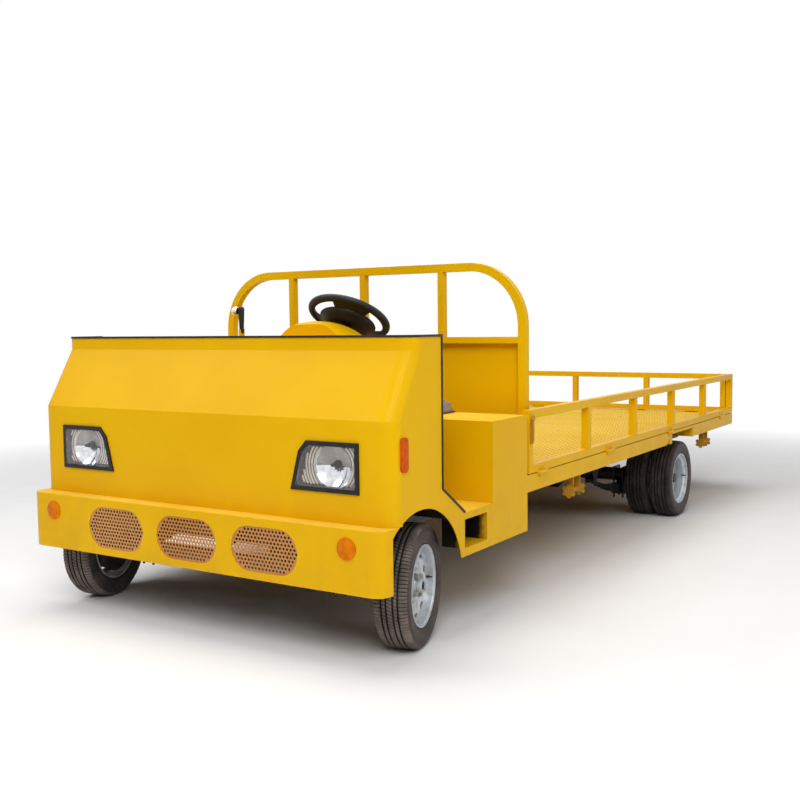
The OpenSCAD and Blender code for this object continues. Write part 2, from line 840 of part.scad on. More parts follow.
module side_markers() {
    color([0.92, 0.38, 0.04]) placed() both_sides()
        across(half_w, marker_t) translate([seam[0][0] + marker_r / 2, marker_z])
            round_rect(marker_w, marker_h, marker_r);
}

// Headboard and load bed

module headboard() {
    half = hoop_w / 2;
    bend_z = hoop_top - hoop_r;
    color(body_yellow) placed() {
        both_sides() {
            box([half - hoop_tube, hoop_y, bed_top], [half, hoop_y + hoop_tube, bend_z]);
            translate([half - hoop_r, hoop_y + hoop_tube, bend_z]) rotate([90, 0, 0])
                rotate_extrude(angle = 90) translate([hoop_r - hoop_tube, 0]) square(hoop_tube);
        }
        box([-half + hoop_r, hoop_y, hoop_top - hoop_tube], [half - hoop_r, hoop_y + hoop_tube, hoop_top]);
        box([-half + hoop_tube / 2, hoop_y, hoop_mid - hoop_bar],
            [half - hoop_tube / 2, hoop_y + hoop_tube, hoop_mid]);
        for (i = [-1 : 1])
            translate([i * hoop_bar_pitch - hoop_bar / 2, hoop_y, hoop_mid - 1])
                cube([hoop_bar, hoop_tube, hoop_top - hoop_mid - hoop_tube + 2]);
    }
}

module backrest_panel() {
    half = hoop_w / 2 - hoop_tube;
    color(body_yellow) placed()
        box([-half, hoop_y + hoop_tube - 3, bed_top], [half, hoop_y + hoop_tube, hoop_mid - hoop_bar]);
}

hinge_spots = [0.035, 0.28, 0.575, 0.91];
tail_hinge_spots = [-0.7, -0.25, 0.25, 0.7];
knuckle_l = 50;
leaf_plate = 6;
hinge_leaf = 24;

function side_hinge_y(i) = gate_front + hinge_spots[i] * (body_l - gate_front);

// Fixed half of a hinge: leaf, barrel and pin, at the origin of its axis along Y
module hinge_fixed() {
    box([-hinge_out, -knuckle_l / 2, -hinge_leaf], [-hinge_out + leaf_plate, knuckle_l / 2, -gate_gap / 2]);
    box([-hinge_out, -knuckle_l / 2, -hinge_barrel_d / 2], [0, knuckle_l / 2, -gate_gap / 2]);
    bar_y(0, -knuckle_l / 2, 0, hinge_barrel_d, knuckle_l);
    bar_y(0, -knuckle_l, 0, hinge_pin_d, 2 * knuckle_l);
}

// Moving half of a hinge: two barrels with straps on the gate's outer face
module hinge_moving() {
    for (s = [0, 1]) mirror([0, s, 0]) difference() {
        union() {
            box([-hinge_out, knuckle_l / 2 + 1, gate_gap / 2],
                [-hinge_out + leaf_plate, knuckle_l, hinge_leaf]);
            box([-hinge_out, knuckle_l / 2 + 1, gate_gap / 2], [0, knuckle_l, hinge_barrel_d / 2]);
            bar_y(0, knuckle_l / 2 + 1, 0, hinge_barrel_d, knuckle_l / 2 - 1);
        }
        bar_y(0, 0, 0, hinge_pin_d + 2 * run_fit, knuckle_l * 2);
    }
}

// Side hinges on the left, tail hinges behind
module side_hinges() {
    for (i = [0 : len(hinge_spots) - 1]) translate([hinge_x, side_hinge_y(i), hinge_z]) children();
}

module tail_hinges() {
    for (s = tail_hinge_spots) translate([s * gate_in, hinge_y, hinge_z]) rotate([0, 0, 90]) children();
}

bed_cross_w = 50;
deck_front = hoop_y + hoop_tube;
bed_bays = 7;
cut_low = 676;
cut_high = 506;
cut_h = 62;
cut_r = 85;

module bed_frame() {
    bay = (body_l - deck_front - bed_rail) / bed_bays;
    color(body_yellow) placed() {
        both_sides() difference() {
            box([gate_in, cab_rear, bed_low], [half_w, body_l, bed_top]);
            box([gate_in - 1, cab_rear - 1, bed_low + sheet],
                [half_w - sheet, body_l - bed_rail, bed_top - sheet]);
            // Cut over the wheels, slanted in front and round behind
            across(gate_in - 1, bed_rail + 2) translate([rear_axle_y, bed_low]) difference() {
                polygon([
                    [-cut_low / 2, -1], [-cut_high / 2, cut_h], [cut_low / 2, cut_h], [cut_low / 2, -1]
                ]);
                translate([cut_low / 2, cut_r]) circle(cut_r);
            }
        }
        // Rear beam, and front beam that the headboard stands on
        box([-gate_in - 1, body_l - bed_rail, bed_low], [gate_in + 1, body_l, bed_top]);
        box([-gate_in - 1, cab_rear, bed_low], [gate_in + 1, deck_front, bed_top]);
        for (i = [1 : bed_bays - 1])
            box([-half_w + sheet / 2, deck_front + i * bay, bed_low],
                [half_w - sheet / 2, deck_front + i * bay + bed_cross_w, bed_top - deck_t]);
        both_sides() side_hinges() hinge_fixed();
        tail_hinges() mirror([1, 0, 0]) rotate([0, 0, 180]) hinge_fixed();
    }
}

module deck_plate() {
    color([0.95, 0.78, 0.12]) placed()
        box([-gate_in, deck_front, bed_top - deck_t], [gate_in, body_l - bed_rail, bed_top]);
}

// Open tube gate from one end to the other, in its own X and Z
module gate_frame(length, posts) {
    h = gate_top - gate_low;
    box([0, 0, 0], [length, bed_rail, bed_rail]);
    box([0, 0, h - bed_rail], [length, bed_rail, h]);
    for (i = [0 : posts - 1])
        translate([i * (length - bed_rail) / (posts - 1), 0, bed_rail + seat_gap])
            cube([bed_rail, bed_rail, h - 2 * bed_rail - 2 * seat_gap]);
}

latch_low = 742;
latch_h = 100;
latch_plate = 5;
latch_d = 12;
ring_r = 15;
ring_d = 6;

// Spring latch on the outer side of a gate's front post: plate, barrel and pull ring
module latch() {
    translate([half_w + seat_gap, gate_front, latch_low]) {
        box([0, 3, 0], [latch_plate, bed_rail - 3, latch_h]);
        translate([latch_plate + latch_d / 2 - 1, bed_rail / 2, 0]) {
            translate([0, 0, 12]) cylinder(d = latch_d, h = latch_h + ring_d);
            translate([0, 0, latch_h + ring_r + ring_d / 2]) rotate([0, 90, 0])
                rotate_extrude() translate([ring_r, 0]) circle(d = ring_d, $fn = 24);
        }
    }
}

module side_gate() {
    translate([half_w, gate_front, gate_low]) rotate([0, 0, 90]) gate_frame(body_l - gate_front, gate_posts);
    side_hinges() hinge_moving();
    latch();
}

module gate_left() {
    color(body_yellow) placed() side_gate();
}

module gate_right() {
    color(body_yellow) placed() mirror([1, 0, 0]) side_gate();
}

module tail_gate() {
    length = 2 * (gate_in - moving_gap);
    color(body_yellow) placed() {
        translate([-length / 2, body_l - bed_rail, gate_low]) gate_frame(length, 4);
        tail_hinges() mirror([1, 0, 0]) rotate([0, 0, 180]) hinge_moving();
    }
}

winch_d = 72;
winch_gap = 130;
winch_z = 435;
winch_y = [1885, 4300];

module winch() {
    difference() {
        for (s = [-1, 1]) bar_y(0, s * winch_gap / 2 - 7, 0, winch_d, 14);
        for (s = [-1, 1], a = [0 : 60 : 300]) rotate([0, a, 0])
            bar_y(winch_d / 2, s * winch_gap / 2 - 8, 0, 18, 16);
    }
    bar_y(0, -winch_gap / 2, 0, 26, winch_gap);
    for (s = [-1, 1])
        box([-18, s * (winch_gap / 2 - 20) - 4, -18], [18, s * (winch_gap / 2 - 20) + 4, bed_low - winch_z]);
}

module lashing_winches() {
    color([0.75, 0.55, 0.10]) placed() both_sides()
        for (y = winch_y) translate([half_w - bed_rail / 2 - 15, y, winch_z]) winch();
}

tail_lamp_w = 160;
tail_lamp_h = 52;
tail_lamp_in = 110;
tail_lamp_t = 12;

module tail_lamps() {
    color([0.75, 0.08, 0.05]) placed() both_sides() along(body_l, tail_lamp_t)
        translate([half_w - tail_lamp_in - tail_lamp_w / 2, (bed_low + bed_top) / 2 - tail_lamp_t / 2])
            round_rect(tail_lamp_w, tail_lamp_h, tail_lamp_t);
}

clevis_r = 32;

module tow_clevis() {
    mid_z = (rail_low + bed_low) / 2;
    bore_y = body_l - 4 - clevis_r;
    color(frame_black) placed() difference() {
        union() {
            box([-70, chassis_rear, mid_z - 32], [70, chassis_rear + 8, mid_z + 32]);
            for (s = [-1, 1]) {
                box([-clevis_r, chassis_rear, mid_z + s * 22 - 6], [clevis_r, bore_y, mid_z + s * 22 + 6]);
                translate([0, bore_y, mid_z + s * 22 - 6]) cylinder(r = clevis_r, h = 12);
            }
        }
        translate([0, bore_y, mid_z - 50]) cylinder(d = tow_bore, h = 100);
    }
}

// Wheels and steering

spindle_d = 40;
fork_t = 22;
fork_gap = 1;

module knuckle() {
    top = axle_z + eye_h / 2 + fork_gap;
    low = axle_z - eye_h / 2 - fork_gap;
    web_x = eye_d / 2 + 4;
    // Fork round the axle's eye
    for (z = [top, low - fork_t]) {
        translate([0, 0, z]) cylinder(d = eye_d, h = fork_t);
        box([0, -eye_d / 2, z], [web_x + 16, eye_d / 2, z + fork_t]);
    }
    box([web_x, -eye_d / 2, low - fork_t], [web_x + 16, eye_d / 2, top + fork_t]);
    translate([0, 0, low - fork_t]) cylinder(d = kingpin_d, h = top - low + 2 * fork_t);
    bar_x(web_x + 15, 0, axle_z, spindle_d, front_centre_x - kingpin_x + 30 - web_x);
    // Arm that the tie rod pulls on
    box([-15, 0, arm_z - arm_t / 2], [15, arm_l, arm_z + arm_t / 2]);
    translate([0, arm_l, arm_z - arm_t / 2]) cylinder(d = 36, h = arm_t);
    translate([0, arm_l, arm_z]) cylinder(d = link_pin_d, h = rod_z - arm_z + rod_eye_h / 2 + 4);
}

module knuckle_left() {
    color(frame_black) placed() steered(kingpin_x) knuckle();
}

module knuckle_right() {
    color(frame_black) placed() steered(-kingpin_x) mirror([1, 0, 0]) knuckle();
}

// Tyre section turned about the wheel's axis, outer side at +Z
module tyre() {
    wall = (tyre_d - rim_d) / 2;
    rotate_extrude() translate([rim_d / 2 + seat_gap + (wall - seat_gap) / 2, 0]) rotate(90)
        round_rect(tyre_w, wall - seat_gap, 24, $fn = 24);
}

rim_wall = 7;
rim_lip = 3;
rim_drop = 15;
vent = [36, 15];

// Rim with lips, a drop centre beside the disc and a pressed disc with vents,
// disc_z from the tyre's middle towards the outer side
module rim(disc_z, bore_r, vents) {
    half = tyre_w / 2 - 8;
    seat_r = rim_d / 2;
    drop_z = disc_z > 0 ? -22 : 22;
    outside = [
        [seat_r + rim_lip, half], [seat_r + rim_lip, half - 4], [seat_r, half - 7], [seat_r, drop_z + 28],
        [seat_r - rim_drop, drop_z + 18], [seat_r - rim_drop, drop_z - 18], [seat_r, drop_z - 28],
        [seat_r, 7 - half], [seat_r + rim_lip, 4 - half], [seat_r + rim_lip, -half]
    ];
    inside = [for (i = [len(outside) - 1 : -1 : 0]) outside[i] - [rim_wall, 0]];
    vent_r = seat_r - 38;
    boss_r = bore_r + 16;
    difference() {
        rotate_extrude() {
            polygon(concat(outside, inside));
            // Pressed disc: hub, raised centre, hollow round it and raised outer ring
            translate([0, disc_z]) polygon([
                [bore_r, 18], [boss_r, 18], [boss_r, 14], [62, 14], [76, 0], [108, 0], [vent_r, 10],
                [seat_r - 5, 10], [seat_r - 5, 2], [vent_r, 2], [110, -8], [72, -8], [58, 6],
                [boss_r, 6], [boss_r, -30], [bore_r, -30]
            ]);
        }
        for (i = [0 : vents - 1]) rotate(i * 360 / vents)
            translate([vent_r, 0, disc_z - 20]) linear_extrude(40) rotate(90) stadium(vent[0], vent[1]);
    }
}

// Place of the left front wheel on its knuckle
module front_wheel_place() {
    translate([front_centre_x - kingpin_x, 0, axle_z]) rotate([0, 90, 0]) children();
}

module rear_wheel_place(x) {
    translate([x, rear_axle_y, axle_z]) rotate([0, 90, 0]) children();
}

module front_tyre_left() {
    color(rubber) placed() steered(kingpin_x) front_wheel_place() tyre();
}

module front_tyre_right() {
    color(rubber) placed() steered(-kingpin_x) mirror([1, 0, 0]) front_wheel_place() tyre();
}

module front_rim() {
    front_wheel_place() rim(20, spindle_d / 2 + run_fit, 10);
}

module front_rim_left() {
    color(steel_grey) placed() steered(kingpin_x) front_rim();
}

module front_rim_right() {
    color(steel_grey) placed() steered(-kingpin_x) mirror([1, 0, 0]) front_rim();
}

module rear_tyres() {
    rear_wheel_place(rear_outer_x) tyre();
    rear_wheel_place(rear_inner_x) tyre();
}

module rear_rims() {
    rear_wheel_place(rear_outer_x) rim(-40, rear_stub_d / 2 + run_fit, 8);
    rear_wheel_place(rear_inner_x) mirror([0, 0, 1]) rim(-40, rear_stub_d / 2 + run_fit, 8);
}

module rear_tyres_left() {
    color(rubber) placed() rear_tyres();
}

module rear_rims_left() {
    color(steel_grey) placed() rear_rims();
}

module rear_tyres_right() {
    color(rubber) placed() mirror([1, 0, 0]) rear_tyres();
}

module rear_rims_right() {
    color(steel_grey) placed() mirror([1, 0, 0]) rear_rims();
}

hub_d = 150;
hub_deep = 58;
web_in = 92;
web_t = 10;

module steering_wheel() {
    rim_r = (wheel_d - wheel_rim) / 2;
    window_r = rim_r - wheel_rim / 2 - 2;
    // Window in the web from one angle to another
    module window(from, to) {
        linear_extrude(200, center = true) intersection() {
            difference() {
                circle(window_r);
                circle(web_in);
            }
            polygon([
                [0, 0], wheel_d * [cos(from), sin(from)],
                2 * wheel_d * [cos((from + to) / 2), sin((from + to) / 2)], wheel_d * [cos(to), sin(to)]
            ]);
        }
    }
    color(trim_black) placed() translate([wheel_x, wheel_y, wheel_z]) rotate([-column_lean, 0, 0])
        rotate(steer_ratio * park_steer) difference() {
            union() {
                rotate_extrude() translate([rim_r, 0]) circle(d = wheel_rim, $fn = 24);
                // Dished web with one window above and two beside the lower spoke
                difference() {
                    rotate_extrude() polygon([
                        [hub_d / 2 - 2, -hub_deep + 12], [hub_d / 2 - 2, -hub_deep + 12 + web_t],
                        [rim_r, web_t / 2], [rim_r, -web_t / 2]
                    ]);
                    for (w = [[-14, 58], [122, 194], [218, 322]]) window(w[0], w[1]);
                    translate([0, 122, 0]) cube([44, 16, 200], center = true);
                }
                // Hub with a shallow pad
                translate([0, 0, -hub_deep]) cylinder(d = hub_d, h = hub_deep - 18);
                translate([0, 0, -19]) cylinder(d1 = hub_d, d2 = hub_d - 40, h = 14);
            }
            translate([0, 0, -hub_deep - 1])
                cylinder(d = shaft_d + 2 * run_fit, h = hub_deep + 1 - shaft_end + run_fit);
        }
}

module tie_rod() {
    color(frame_black) placed() translate([arm_end[0], arm_end[1], rod_z]) difference() {
        union() {
            bar_x(-kingpin_x, 0, 0, 2 * rod_r, 2 * kingpin_x);
            for (x = [-kingpin_x, drop_arm_x, kingpin_x])
                translate([x, 0, -rod_eye_h / 2]) cylinder(d = 40, h = rod_eye_h);
        }
        for (x = [-kingpin_x, drop_arm_x, kingpin_x])
            translate([x, 0, -30]) cylinder(d = link_pin_d + 2 * run_fit, h = 60);
    }
}

module drop_arm() {
    color(frame_black) placed() steered(drop_arm_x) {
        box([-14, 0, drop_arm_z], [14, arm_l, drop_arm_z + 16]);
        translate([0, 0, drop_arm_z]) cylinder(d = 44, h = 16 - fork_gap);
        translate([0, arm_l, rod_z + rod_eye_h / 2 + 2])
            cylinder(d = 36, h = drop_arm_z + 16 - rod_z - rod_eye_h / 2 - 2);
        translate([0, arm_l, rod_z - rod_eye_h / 2]) cylinder(d = link_pin_d, h = rod_eye_h + 10);
    }
}

chassis_frame();
front_axle_beam();
rear_axle();
leaf_springs();
drive_motor();
battery_box();
steering_gear();
bumper();
grille_mesh();
nose_panel();
side_panel_left();
side_panel_right();
cab_floor();
seat_box();
dash_panel();
steering_cowl();
edge_trim();
seat_cushion();
brake_lever();
pedals();
headlamp_bezels();
headlamp_reflectors();
headlamp_lenses();
front_indicators();
side_markers();
headboard();
backrest_panel();
bed_frame();
deck_plate();
lashing_winches();
tail_lamps();
tow_clevis();
knuckle_left();
knuckle_right();
front_tyre_left();
front_rim_left();
front_tyre_right();
front_rim_right();
rear_tyres_left();
rear_rims_left();
rear_tyres_right();
rear_rims_right();
steering_wheel();
tie_rod();
drop_arm();
gate_left();
gate_right();
tail_gate();
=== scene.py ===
"""Looks of an open-cab flatbed truck: paint, tread plate, tyres, bench, lamps and fittings."""

import json
import math

import bmesh
import bpy
from mathutils import Matrix, Vector


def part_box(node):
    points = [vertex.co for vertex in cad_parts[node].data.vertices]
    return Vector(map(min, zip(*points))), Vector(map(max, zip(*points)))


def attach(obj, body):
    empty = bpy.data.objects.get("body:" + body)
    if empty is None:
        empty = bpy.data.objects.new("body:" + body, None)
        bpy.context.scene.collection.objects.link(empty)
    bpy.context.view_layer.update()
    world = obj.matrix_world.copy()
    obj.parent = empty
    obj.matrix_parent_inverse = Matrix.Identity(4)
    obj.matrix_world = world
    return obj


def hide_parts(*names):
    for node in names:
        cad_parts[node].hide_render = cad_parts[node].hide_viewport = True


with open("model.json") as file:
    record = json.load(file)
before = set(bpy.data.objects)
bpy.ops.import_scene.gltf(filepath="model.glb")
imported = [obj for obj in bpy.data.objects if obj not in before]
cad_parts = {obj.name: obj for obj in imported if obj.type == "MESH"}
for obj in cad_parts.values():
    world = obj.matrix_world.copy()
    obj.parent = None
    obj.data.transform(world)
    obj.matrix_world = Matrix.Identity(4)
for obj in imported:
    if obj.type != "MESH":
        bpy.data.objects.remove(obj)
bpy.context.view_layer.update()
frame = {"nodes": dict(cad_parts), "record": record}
nodes = frame["nodes"]
joints = {joint["child"]: joint for joint in frame["record"]["behaviour"]["joints"]}
scene = bpy.context.scene
MM = 0.001

# Camera, solved from the straight edges of the vehicle in an 800 x 800 image
IMAGE_PX = 800
FOCAL_PX = 1004.9
SENSOR_MM = 36.0
CAMERA_YAW = 0.5662
CAMERA_PITCH = 0.0738
CAMERA_ROLL = -0.0113
CAMERA_AT = Vector((2.9995, -5.5203, 1.3053))


def srgb(red, green, blue):
    """Scene-linear colour of an 8-bit sRGB colour."""
    def linear(value):
        share = value / 255
        return share / 12.92 if share <= 0.04045 else ((share + 0.055) / 1.055) ** 2.4
    return (linear(red), linear(green), linear(blue), 1.0)


# Materials

class Surface:
    """One procedural material: a Principled shader and the texture nodes that feed it."""

    def __init__(self, name):
        self.material = bpy.data.materials.new(name)
        self.material.use_nodes = True
        self.tree = self.material.node_tree
        self.shader = self.tree.nodes["Principled BSDF"]
        self.place = self.add("ShaderNodeTexCoord").outputs["Object"]

    def add(self, kind, **settings):
        node = self.tree.nodes.new(kind)
        for key, value in settings.items():
            setattr(node, key, value)
        return node

    def feed(self, socket, value):
        if isinstance(value, bpy.types.NodeSocket):
            self.tree.links.new(value, socket)
        else:
            socket.default_value = value

    def set(self, **values):
        """Feeds the shader's sockets, named with underscores for spaces."""
        for key, value in values.items():
            self.feed(self.shader.inputs[key.replace("_", " ")], value)

    def noise(self, scale, detail=3.0, stretch=(1, 1, 1)):
        """Soft clouds, as many to the metre as the scale says."""
        mapping = self.add("ShaderNodeMapping")
        self.feed(mapping.inputs["Vector"], self.place)
        mapping.inputs["Scale"].default_value = stretch
        texture = self.add("ShaderNodeTexNoise")
        self.feed(texture.inputs["Vector"], mapping.outputs["Vector"])
        texture.inputs["Scale"].default_value = scale
        texture.inputs["Detail"].default_value = detail
        return texture.outputs["Fac"]

    def cells(self, scale, feature="F1"):
        """Pebbled cells, as many to the metre as the scale says."""
        texture = self.add("ShaderNodeTexVoronoi", feature=feature)
        self.feed(texture.inputs["Vector"], self.place)
        texture.inputs["Scale"].default_value = scale
        return texture.outputs["Distance"]

    def level(self, value, low, high, to_low=0.0, to_high=1.0):
        """A value moved from one range to another, and held at its ends."""
        node = self.add("ShaderNodeMapRange")
        for socket, number in zip(node.inputs, (value, low, high, to_low, to_high)):
            self.feed(socket, number)
        return node.outputs["Result"]

    def math(self, operation, first, second):
        node = self.add("ShaderNodeMath", operation=operation)
        self.feed(node.inputs[0], first)
        self.feed(node.inputs[1], second)
        return node.outputs["Value"]

    def mix(self, factor, first, second):
        node = self.add("ShaderNodeMix", data_type="RGBA")
        for index, value in ((0, factor), (6, first), (7, second)):
            self.feed(node.inputs[index], value)
        return node.outputs[2]

    def height(self):
        """Height above the ground, in metres."""
        node = self.add("ShaderNodeSeparateXYZ")
        self.feed(node.inputs["Vector"], self.place)
        return node.outputs["Z"]

    def rounded(self, radius):
        """Normal that softens every hard edge over a radius."""
        node = self.add("ShaderNodeBevel", samples=4)
        node.inputs["Radius"].default_value = radius
        return node.outputs["Normal"]

    def edges(self, normal):
        """1 on hard edges and 0 on flat faces, from a rounded normal."""
        true_normal = self.add("ShaderNodeNewGeometry").outputs["Normal"]
        node = self.add("ShaderNodeVectorMath", operation="DOT_PRODUCT")
        self.feed(node.inputs[0], normal)
        self.feed(node.inputs[1], true_normal)
        return self.level(node.outputs["Value"], 0.97, 0.80)

    def bump(self, height, distance, normal=None):
        """Normal that follows a height, in metres, on top of another normal."""
        node = self.add("ShaderNodeBump")
        node.inputs["Strength"].default_value = 1.0
        node.inputs["Distance"].default_value = distance
        self.feed(node.inputs["Height"], height)
        if normal is not None:
            self.feed(node.inputs["Normal"], normal)
        return node.outputs["Normal"]


ROAD_DUST = srgb(150, 120, 62)
DUST_TOP, DUST_FULL = 0.75, 0.22
ORANGE_PEEL = 0.12 * MM


def paint(name, colour, deep, worn, roughness, dirt=0.0):
    """Enamel on steel: cloudy colour, orange peel, edges rubbed and road dust low down."""
    look = Surface(name)
    soft = look.rounded(2.2 * MM)
    clouds = look.level(look.noise(1.7, 4), 0.35, 0.68)
    base = look.mix(clouds, deep, colour)
    rubbed = look.math("MULTIPLY", look.edges(soft), look.level(look.noise(55, 3), 0.52, 0.66))
    base = look.mix(look.math("MULTIPLY", rubbed, 0.28), base, worn)
    low_down = look.level(look.height(), DUST_TOP, DUST_FULL)
    dust = look.math("MULTIPLY", low_down, look.level(look.noise(9, 5), 0.42, 0.75))
    dust = look.math("MULTIPLY", dust, dirt)
    base = look.mix(dust, base, ROAD_DUST)
    rough = look.level(look.noise(26, 4), 0.3, 0.75, roughness - 0.05, roughness + 0.07)
    rough = look.math("ADD", rough, look.math("MULTIPLY", dust, 0.35))
    look.set(Base_Color=base, Roughness=rough, Specular_IOR_Level=0.09)
    look.set(Normal=look.bump(look.noise(240, 2), ORANGE_PEEL, soft))
    return look.material


def black_steel():
    """Satin black chassis paint with dust on it."""
    look = Surface("chassis_black")
    soft = look.rounded(2.0 * MM)
    dust = look.level(look.noise(7, 6), 0.45, 0.8)
    base = look.mix(dust, srgb(17, 15, 15), srgb(38, 34, 31))
    rubbed = look.math("MULTIPLY", look.edges(soft), look.level(look.noise(70, 3), 0.5, 0.7))
    base = look.mix(look.math("MULTIPLY", rubbed, 0.5), base, srgb(92, 86, 80))
    look.set(Base_Color=base, Roughness=look.level(dust, 0, 1, 0.42, 0.7))
    look.set(Normal=look.bump(look.noise(300, 3), 0.0002, soft))
    return look.material


def grained(name, dark, light, grain, depth, roughness):
    """Rubber, plastic or cast metal with a fine pebbled grain."""
    look = Surface(name)
    soft = look.rounded(1.5 * MM)
    clouds = look.level(look.noise(14, 4), 0.35, 0.7)
    base = look.mix(clouds, dark, light)
    base = look.mix(look.math("MULTIPLY", look.edges(soft), 0.35), base, light)
    rough = look.level(look.noise(60, 3), 0.3, 0.7, roughness - 0.07, roughness + 0.08)
    look.set(Base_Color=base, Roughness=rough, Specular_IOR_Level=0.3)
    look.set(Normal=look.bump(look.cells(grain), depth, soft))
    return look.material


def tyre_rubber():
    """Road-worn rubber of the side walls, with dust and faint streaks."""
    look = Surface("tyre_rubber")
    dust = look.level(look.noise(11, 6), 0.40, 0.72)
    base = look.mix(dust, srgb(44, 39, 37), srgb(86, 76, 69))
    streaks = look.level(look.noise(60, 4, (0.3, 1, 1)), 0.55, 0.8)
    base = look.mix(look.math("MULTIPLY", streaks, 0.4), base, srgb(124, 110, 100))
    look.set(Base_Color=base, Roughness=look.level(dust, 0, 1, 0.55, 0.82), Specular_IOR_Level=0.35)
    look.set(Normal=look.bump(look.noise(420, 4), 0.0006))
    return look.material


def wheel_silver():
    """Silver wheel paint with a light film of dust in the hollows."""
    look = Surface("wheel_silver")
    soft = look.rounded(1.5 * MM)
    dust = look.level(look.noise(24, 5), 0.45, 0.8)
    base = look.mix(dust, srgb(198, 203, 208), srgb(164, 162, 157))
    look.set(Base_Color=base, Metallic=0.35, Roughness=look.level(dust, 0, 1, 0.3, 0.52))
    look.set(Normal=look.bump(look.noise(500, 2), 0.00008, soft))
    return look.material


def chrome():
    """Bright reflector metal with faint waves."""
    look = Surface("lamp_chrome")
    tint = look.mix(look.level(look.noise(40, 2), 0.3, 0.7), srgb(214, 216, 220), srgb(244, 246, 248))
    look.set(Base_Color=tint, Metallic=1.0, Roughness=look.level(look.noise(80, 2), 0.3, 0.7, 0.06, 0.16))
    look.set(Normal=look.bump(look.noise(70, 1), 0.0003))
    return look.material


def clear_cover():
    """Clear moulded lamp cover."""
    look = Surface("lamp_cover")
    look.set(Base_Color=(1, 1, 1, 1), Transmission_Weight=1.0, IOR=1.45)
    look.set(Roughness=look.level(look.noise(90, 3), 0.4, 0.8, 0.0, 0.05))
    look.set(Normal=look.bump(look.noise(60, 1), 0.00004))
    return look.material


def lens(name, colour, deep, pitch):
    """Coloured lamp plastic with moulded ribs."""
    look = Surface(name)
    wave = look.add("ShaderNodeTexWave", bands_direction="Z")
    look.feed(wave.inputs["Vector"], look.place)
    wave.inputs["Scale"].default_value = math.tau / pitch / 20
    clouds = look.level(look.noise(30, 3), 0.35, 0.7)
    look.set(Base_Color=look.mix(clouds, deep, colour), Specular_IOR_Level=0.06)
    look.set(Roughness=look.level(clouds, 0, 1, 0.24, 0.34))
    look.set(Normal=look.bump(wave.outputs["Fac"], 0.0007))
    return look.material


def vinyl():
    """Grey-brown bench vinyl with a fine leather grain."""
    look = Surface("bench_vinyl")
    clouds = look.level(look.noise(9, 5), 0.35, 0.7)
    base = look.mix(clouds, srgb(112, 97, 90), srgb(146, 131, 122))
    creases = look.cells(420, "DISTANCE_TO_EDGE")
    grain = look.math("ADD", look.level(creases, 0.0, 0.12), look.math("MULTIPLY", look.noise(900, 2), 0.5))
    look.set(Base_Color=base, Roughness=look.level(clouds, 0, 1, 0.42, 0.56), Sheen_Weight=0.15)
    look.set(Normal=look.bump(grain, 0.00025))
    return look.material


# Reach of the pocket's painted shade: yellow at the mouth, black at the dark end
POCKET_MOUTH, POCKET_DARK = 0.978, 0.948


def pocket_shade():
    """Paint of the step's pocket: yellow at its mouth, painted shade turning black deeper in."""
    look = Surface("pocket_shade")
    node = look.add("ShaderNodeSeparateXYZ")
    look.feed(node.inputs["Vector"], look.place)
    reach = look.math("ABSOLUTE", node.outputs["X"], 0.0)
    # Painted shade: black grows with the distance into the pocket, its edge broken by noise
    pocket_shade_depth = look.math("ADD", reach, look.level(look.noise(30, 4), 0.3, 0.7, -0.006, 0.006))
    base = look.mix(look.level(pocket_shade_depth, POCKET_MOUTH, POCKET_DARK), srgb(206, 156, 20), srgb(30, 25, 22))
    rough = look.level(look.noise(40, 3), 0.3, 0.7, 0.5, 0.7)
    look.set(Base_Color=base, Roughness=rough, Specular_IOR_Level=0.1)
    look.set(Normal=look.bump(look.noise(300, 3), 0.0002))
    return look.material


YELLOW = srgb(238, 186, 4)
YELLOW_DEEP = srgb(231, 177, 2)
BARE_PRIMER = srgb(206, 158, 58)

LOOKS = {
    "body_yellow": paint("body_yellow", YELLOW, YELLOW_DEEP, BARE_PRIMER, 0.36, dirt=0.2),
    # The deck plate's yellow is darker than the body's: painted shade between the lugs
    "deck_yellow": paint("deck_yellow", srgb(216, 162, 10), srgb(204, 150, 6), srgb(196, 158, 70), 0.5),
    "frame_black": black_steel(),
    "trim_rubber": grained("trim_rubber", srgb(14, 10, 9), srgb(36, 29, 27), 900, 0.0002, 0.42),
    "black_plastic": grained("black_plastic", srgb(15, 13, 13), srgb(28, 25, 24), 1400, 0.00012, 0.45),
    "grille_sheet": paint("grille_sheet", srgb(206, 150, 92), srgb(190, 128, 66), srgb(224, 180, 130), 0.5),
    "seat_vinyl": vinyl(),
    "lamp_chrome": chrome(),
    "lamp_glass": clear_cover(),
    "amber_lens": lens("amber_lens", srgb(236, 136, 2), srgb(218, 106, 0), 0.004),
    "red_lens": lens("red_lens", srgb(176, 20, 12), srgb(140, 8, 6), 0.004),
    "winch_ochre": paint(
        "winch_ochre", srgb(196, 148, 44), srgb(164, 112, 26), srgb(110, 78, 40), 0.55, dirt=0.9),
    "tyre_rubber": tyre_rubber(),
    "rim_silver": wheel_silver(),
}
MARKER_LENS = lens("marker_lens", srgb(222, 98, 0), srgb(208, 82, 0), 0.005)
BOLT_STEEL = grained("bolt_steel", srgb(120, 118, 114), srgb(168, 166, 160), 700, 0.0001, 0.4)
# Lugs painted lighter than the deck plate: a painted highlight on their tops
LUG_PAINTED_HIGHLIGHT = paint("lug_painted_highlight", srgb(255, 226, 98), srgb(252, 214, 66), srgb(226, 206, 160), 0.42)
# Paler yellow for upward faces: painted light on the tops, with road dust low down
TOP_PAINTED_LIGHT_YELLOW = paint(
    "top_painted_light_yellow", srgb(246, 206, 78), srgb(240, 192, 48), srgb(188, 150, 84), 0.55, dirt=0.3)
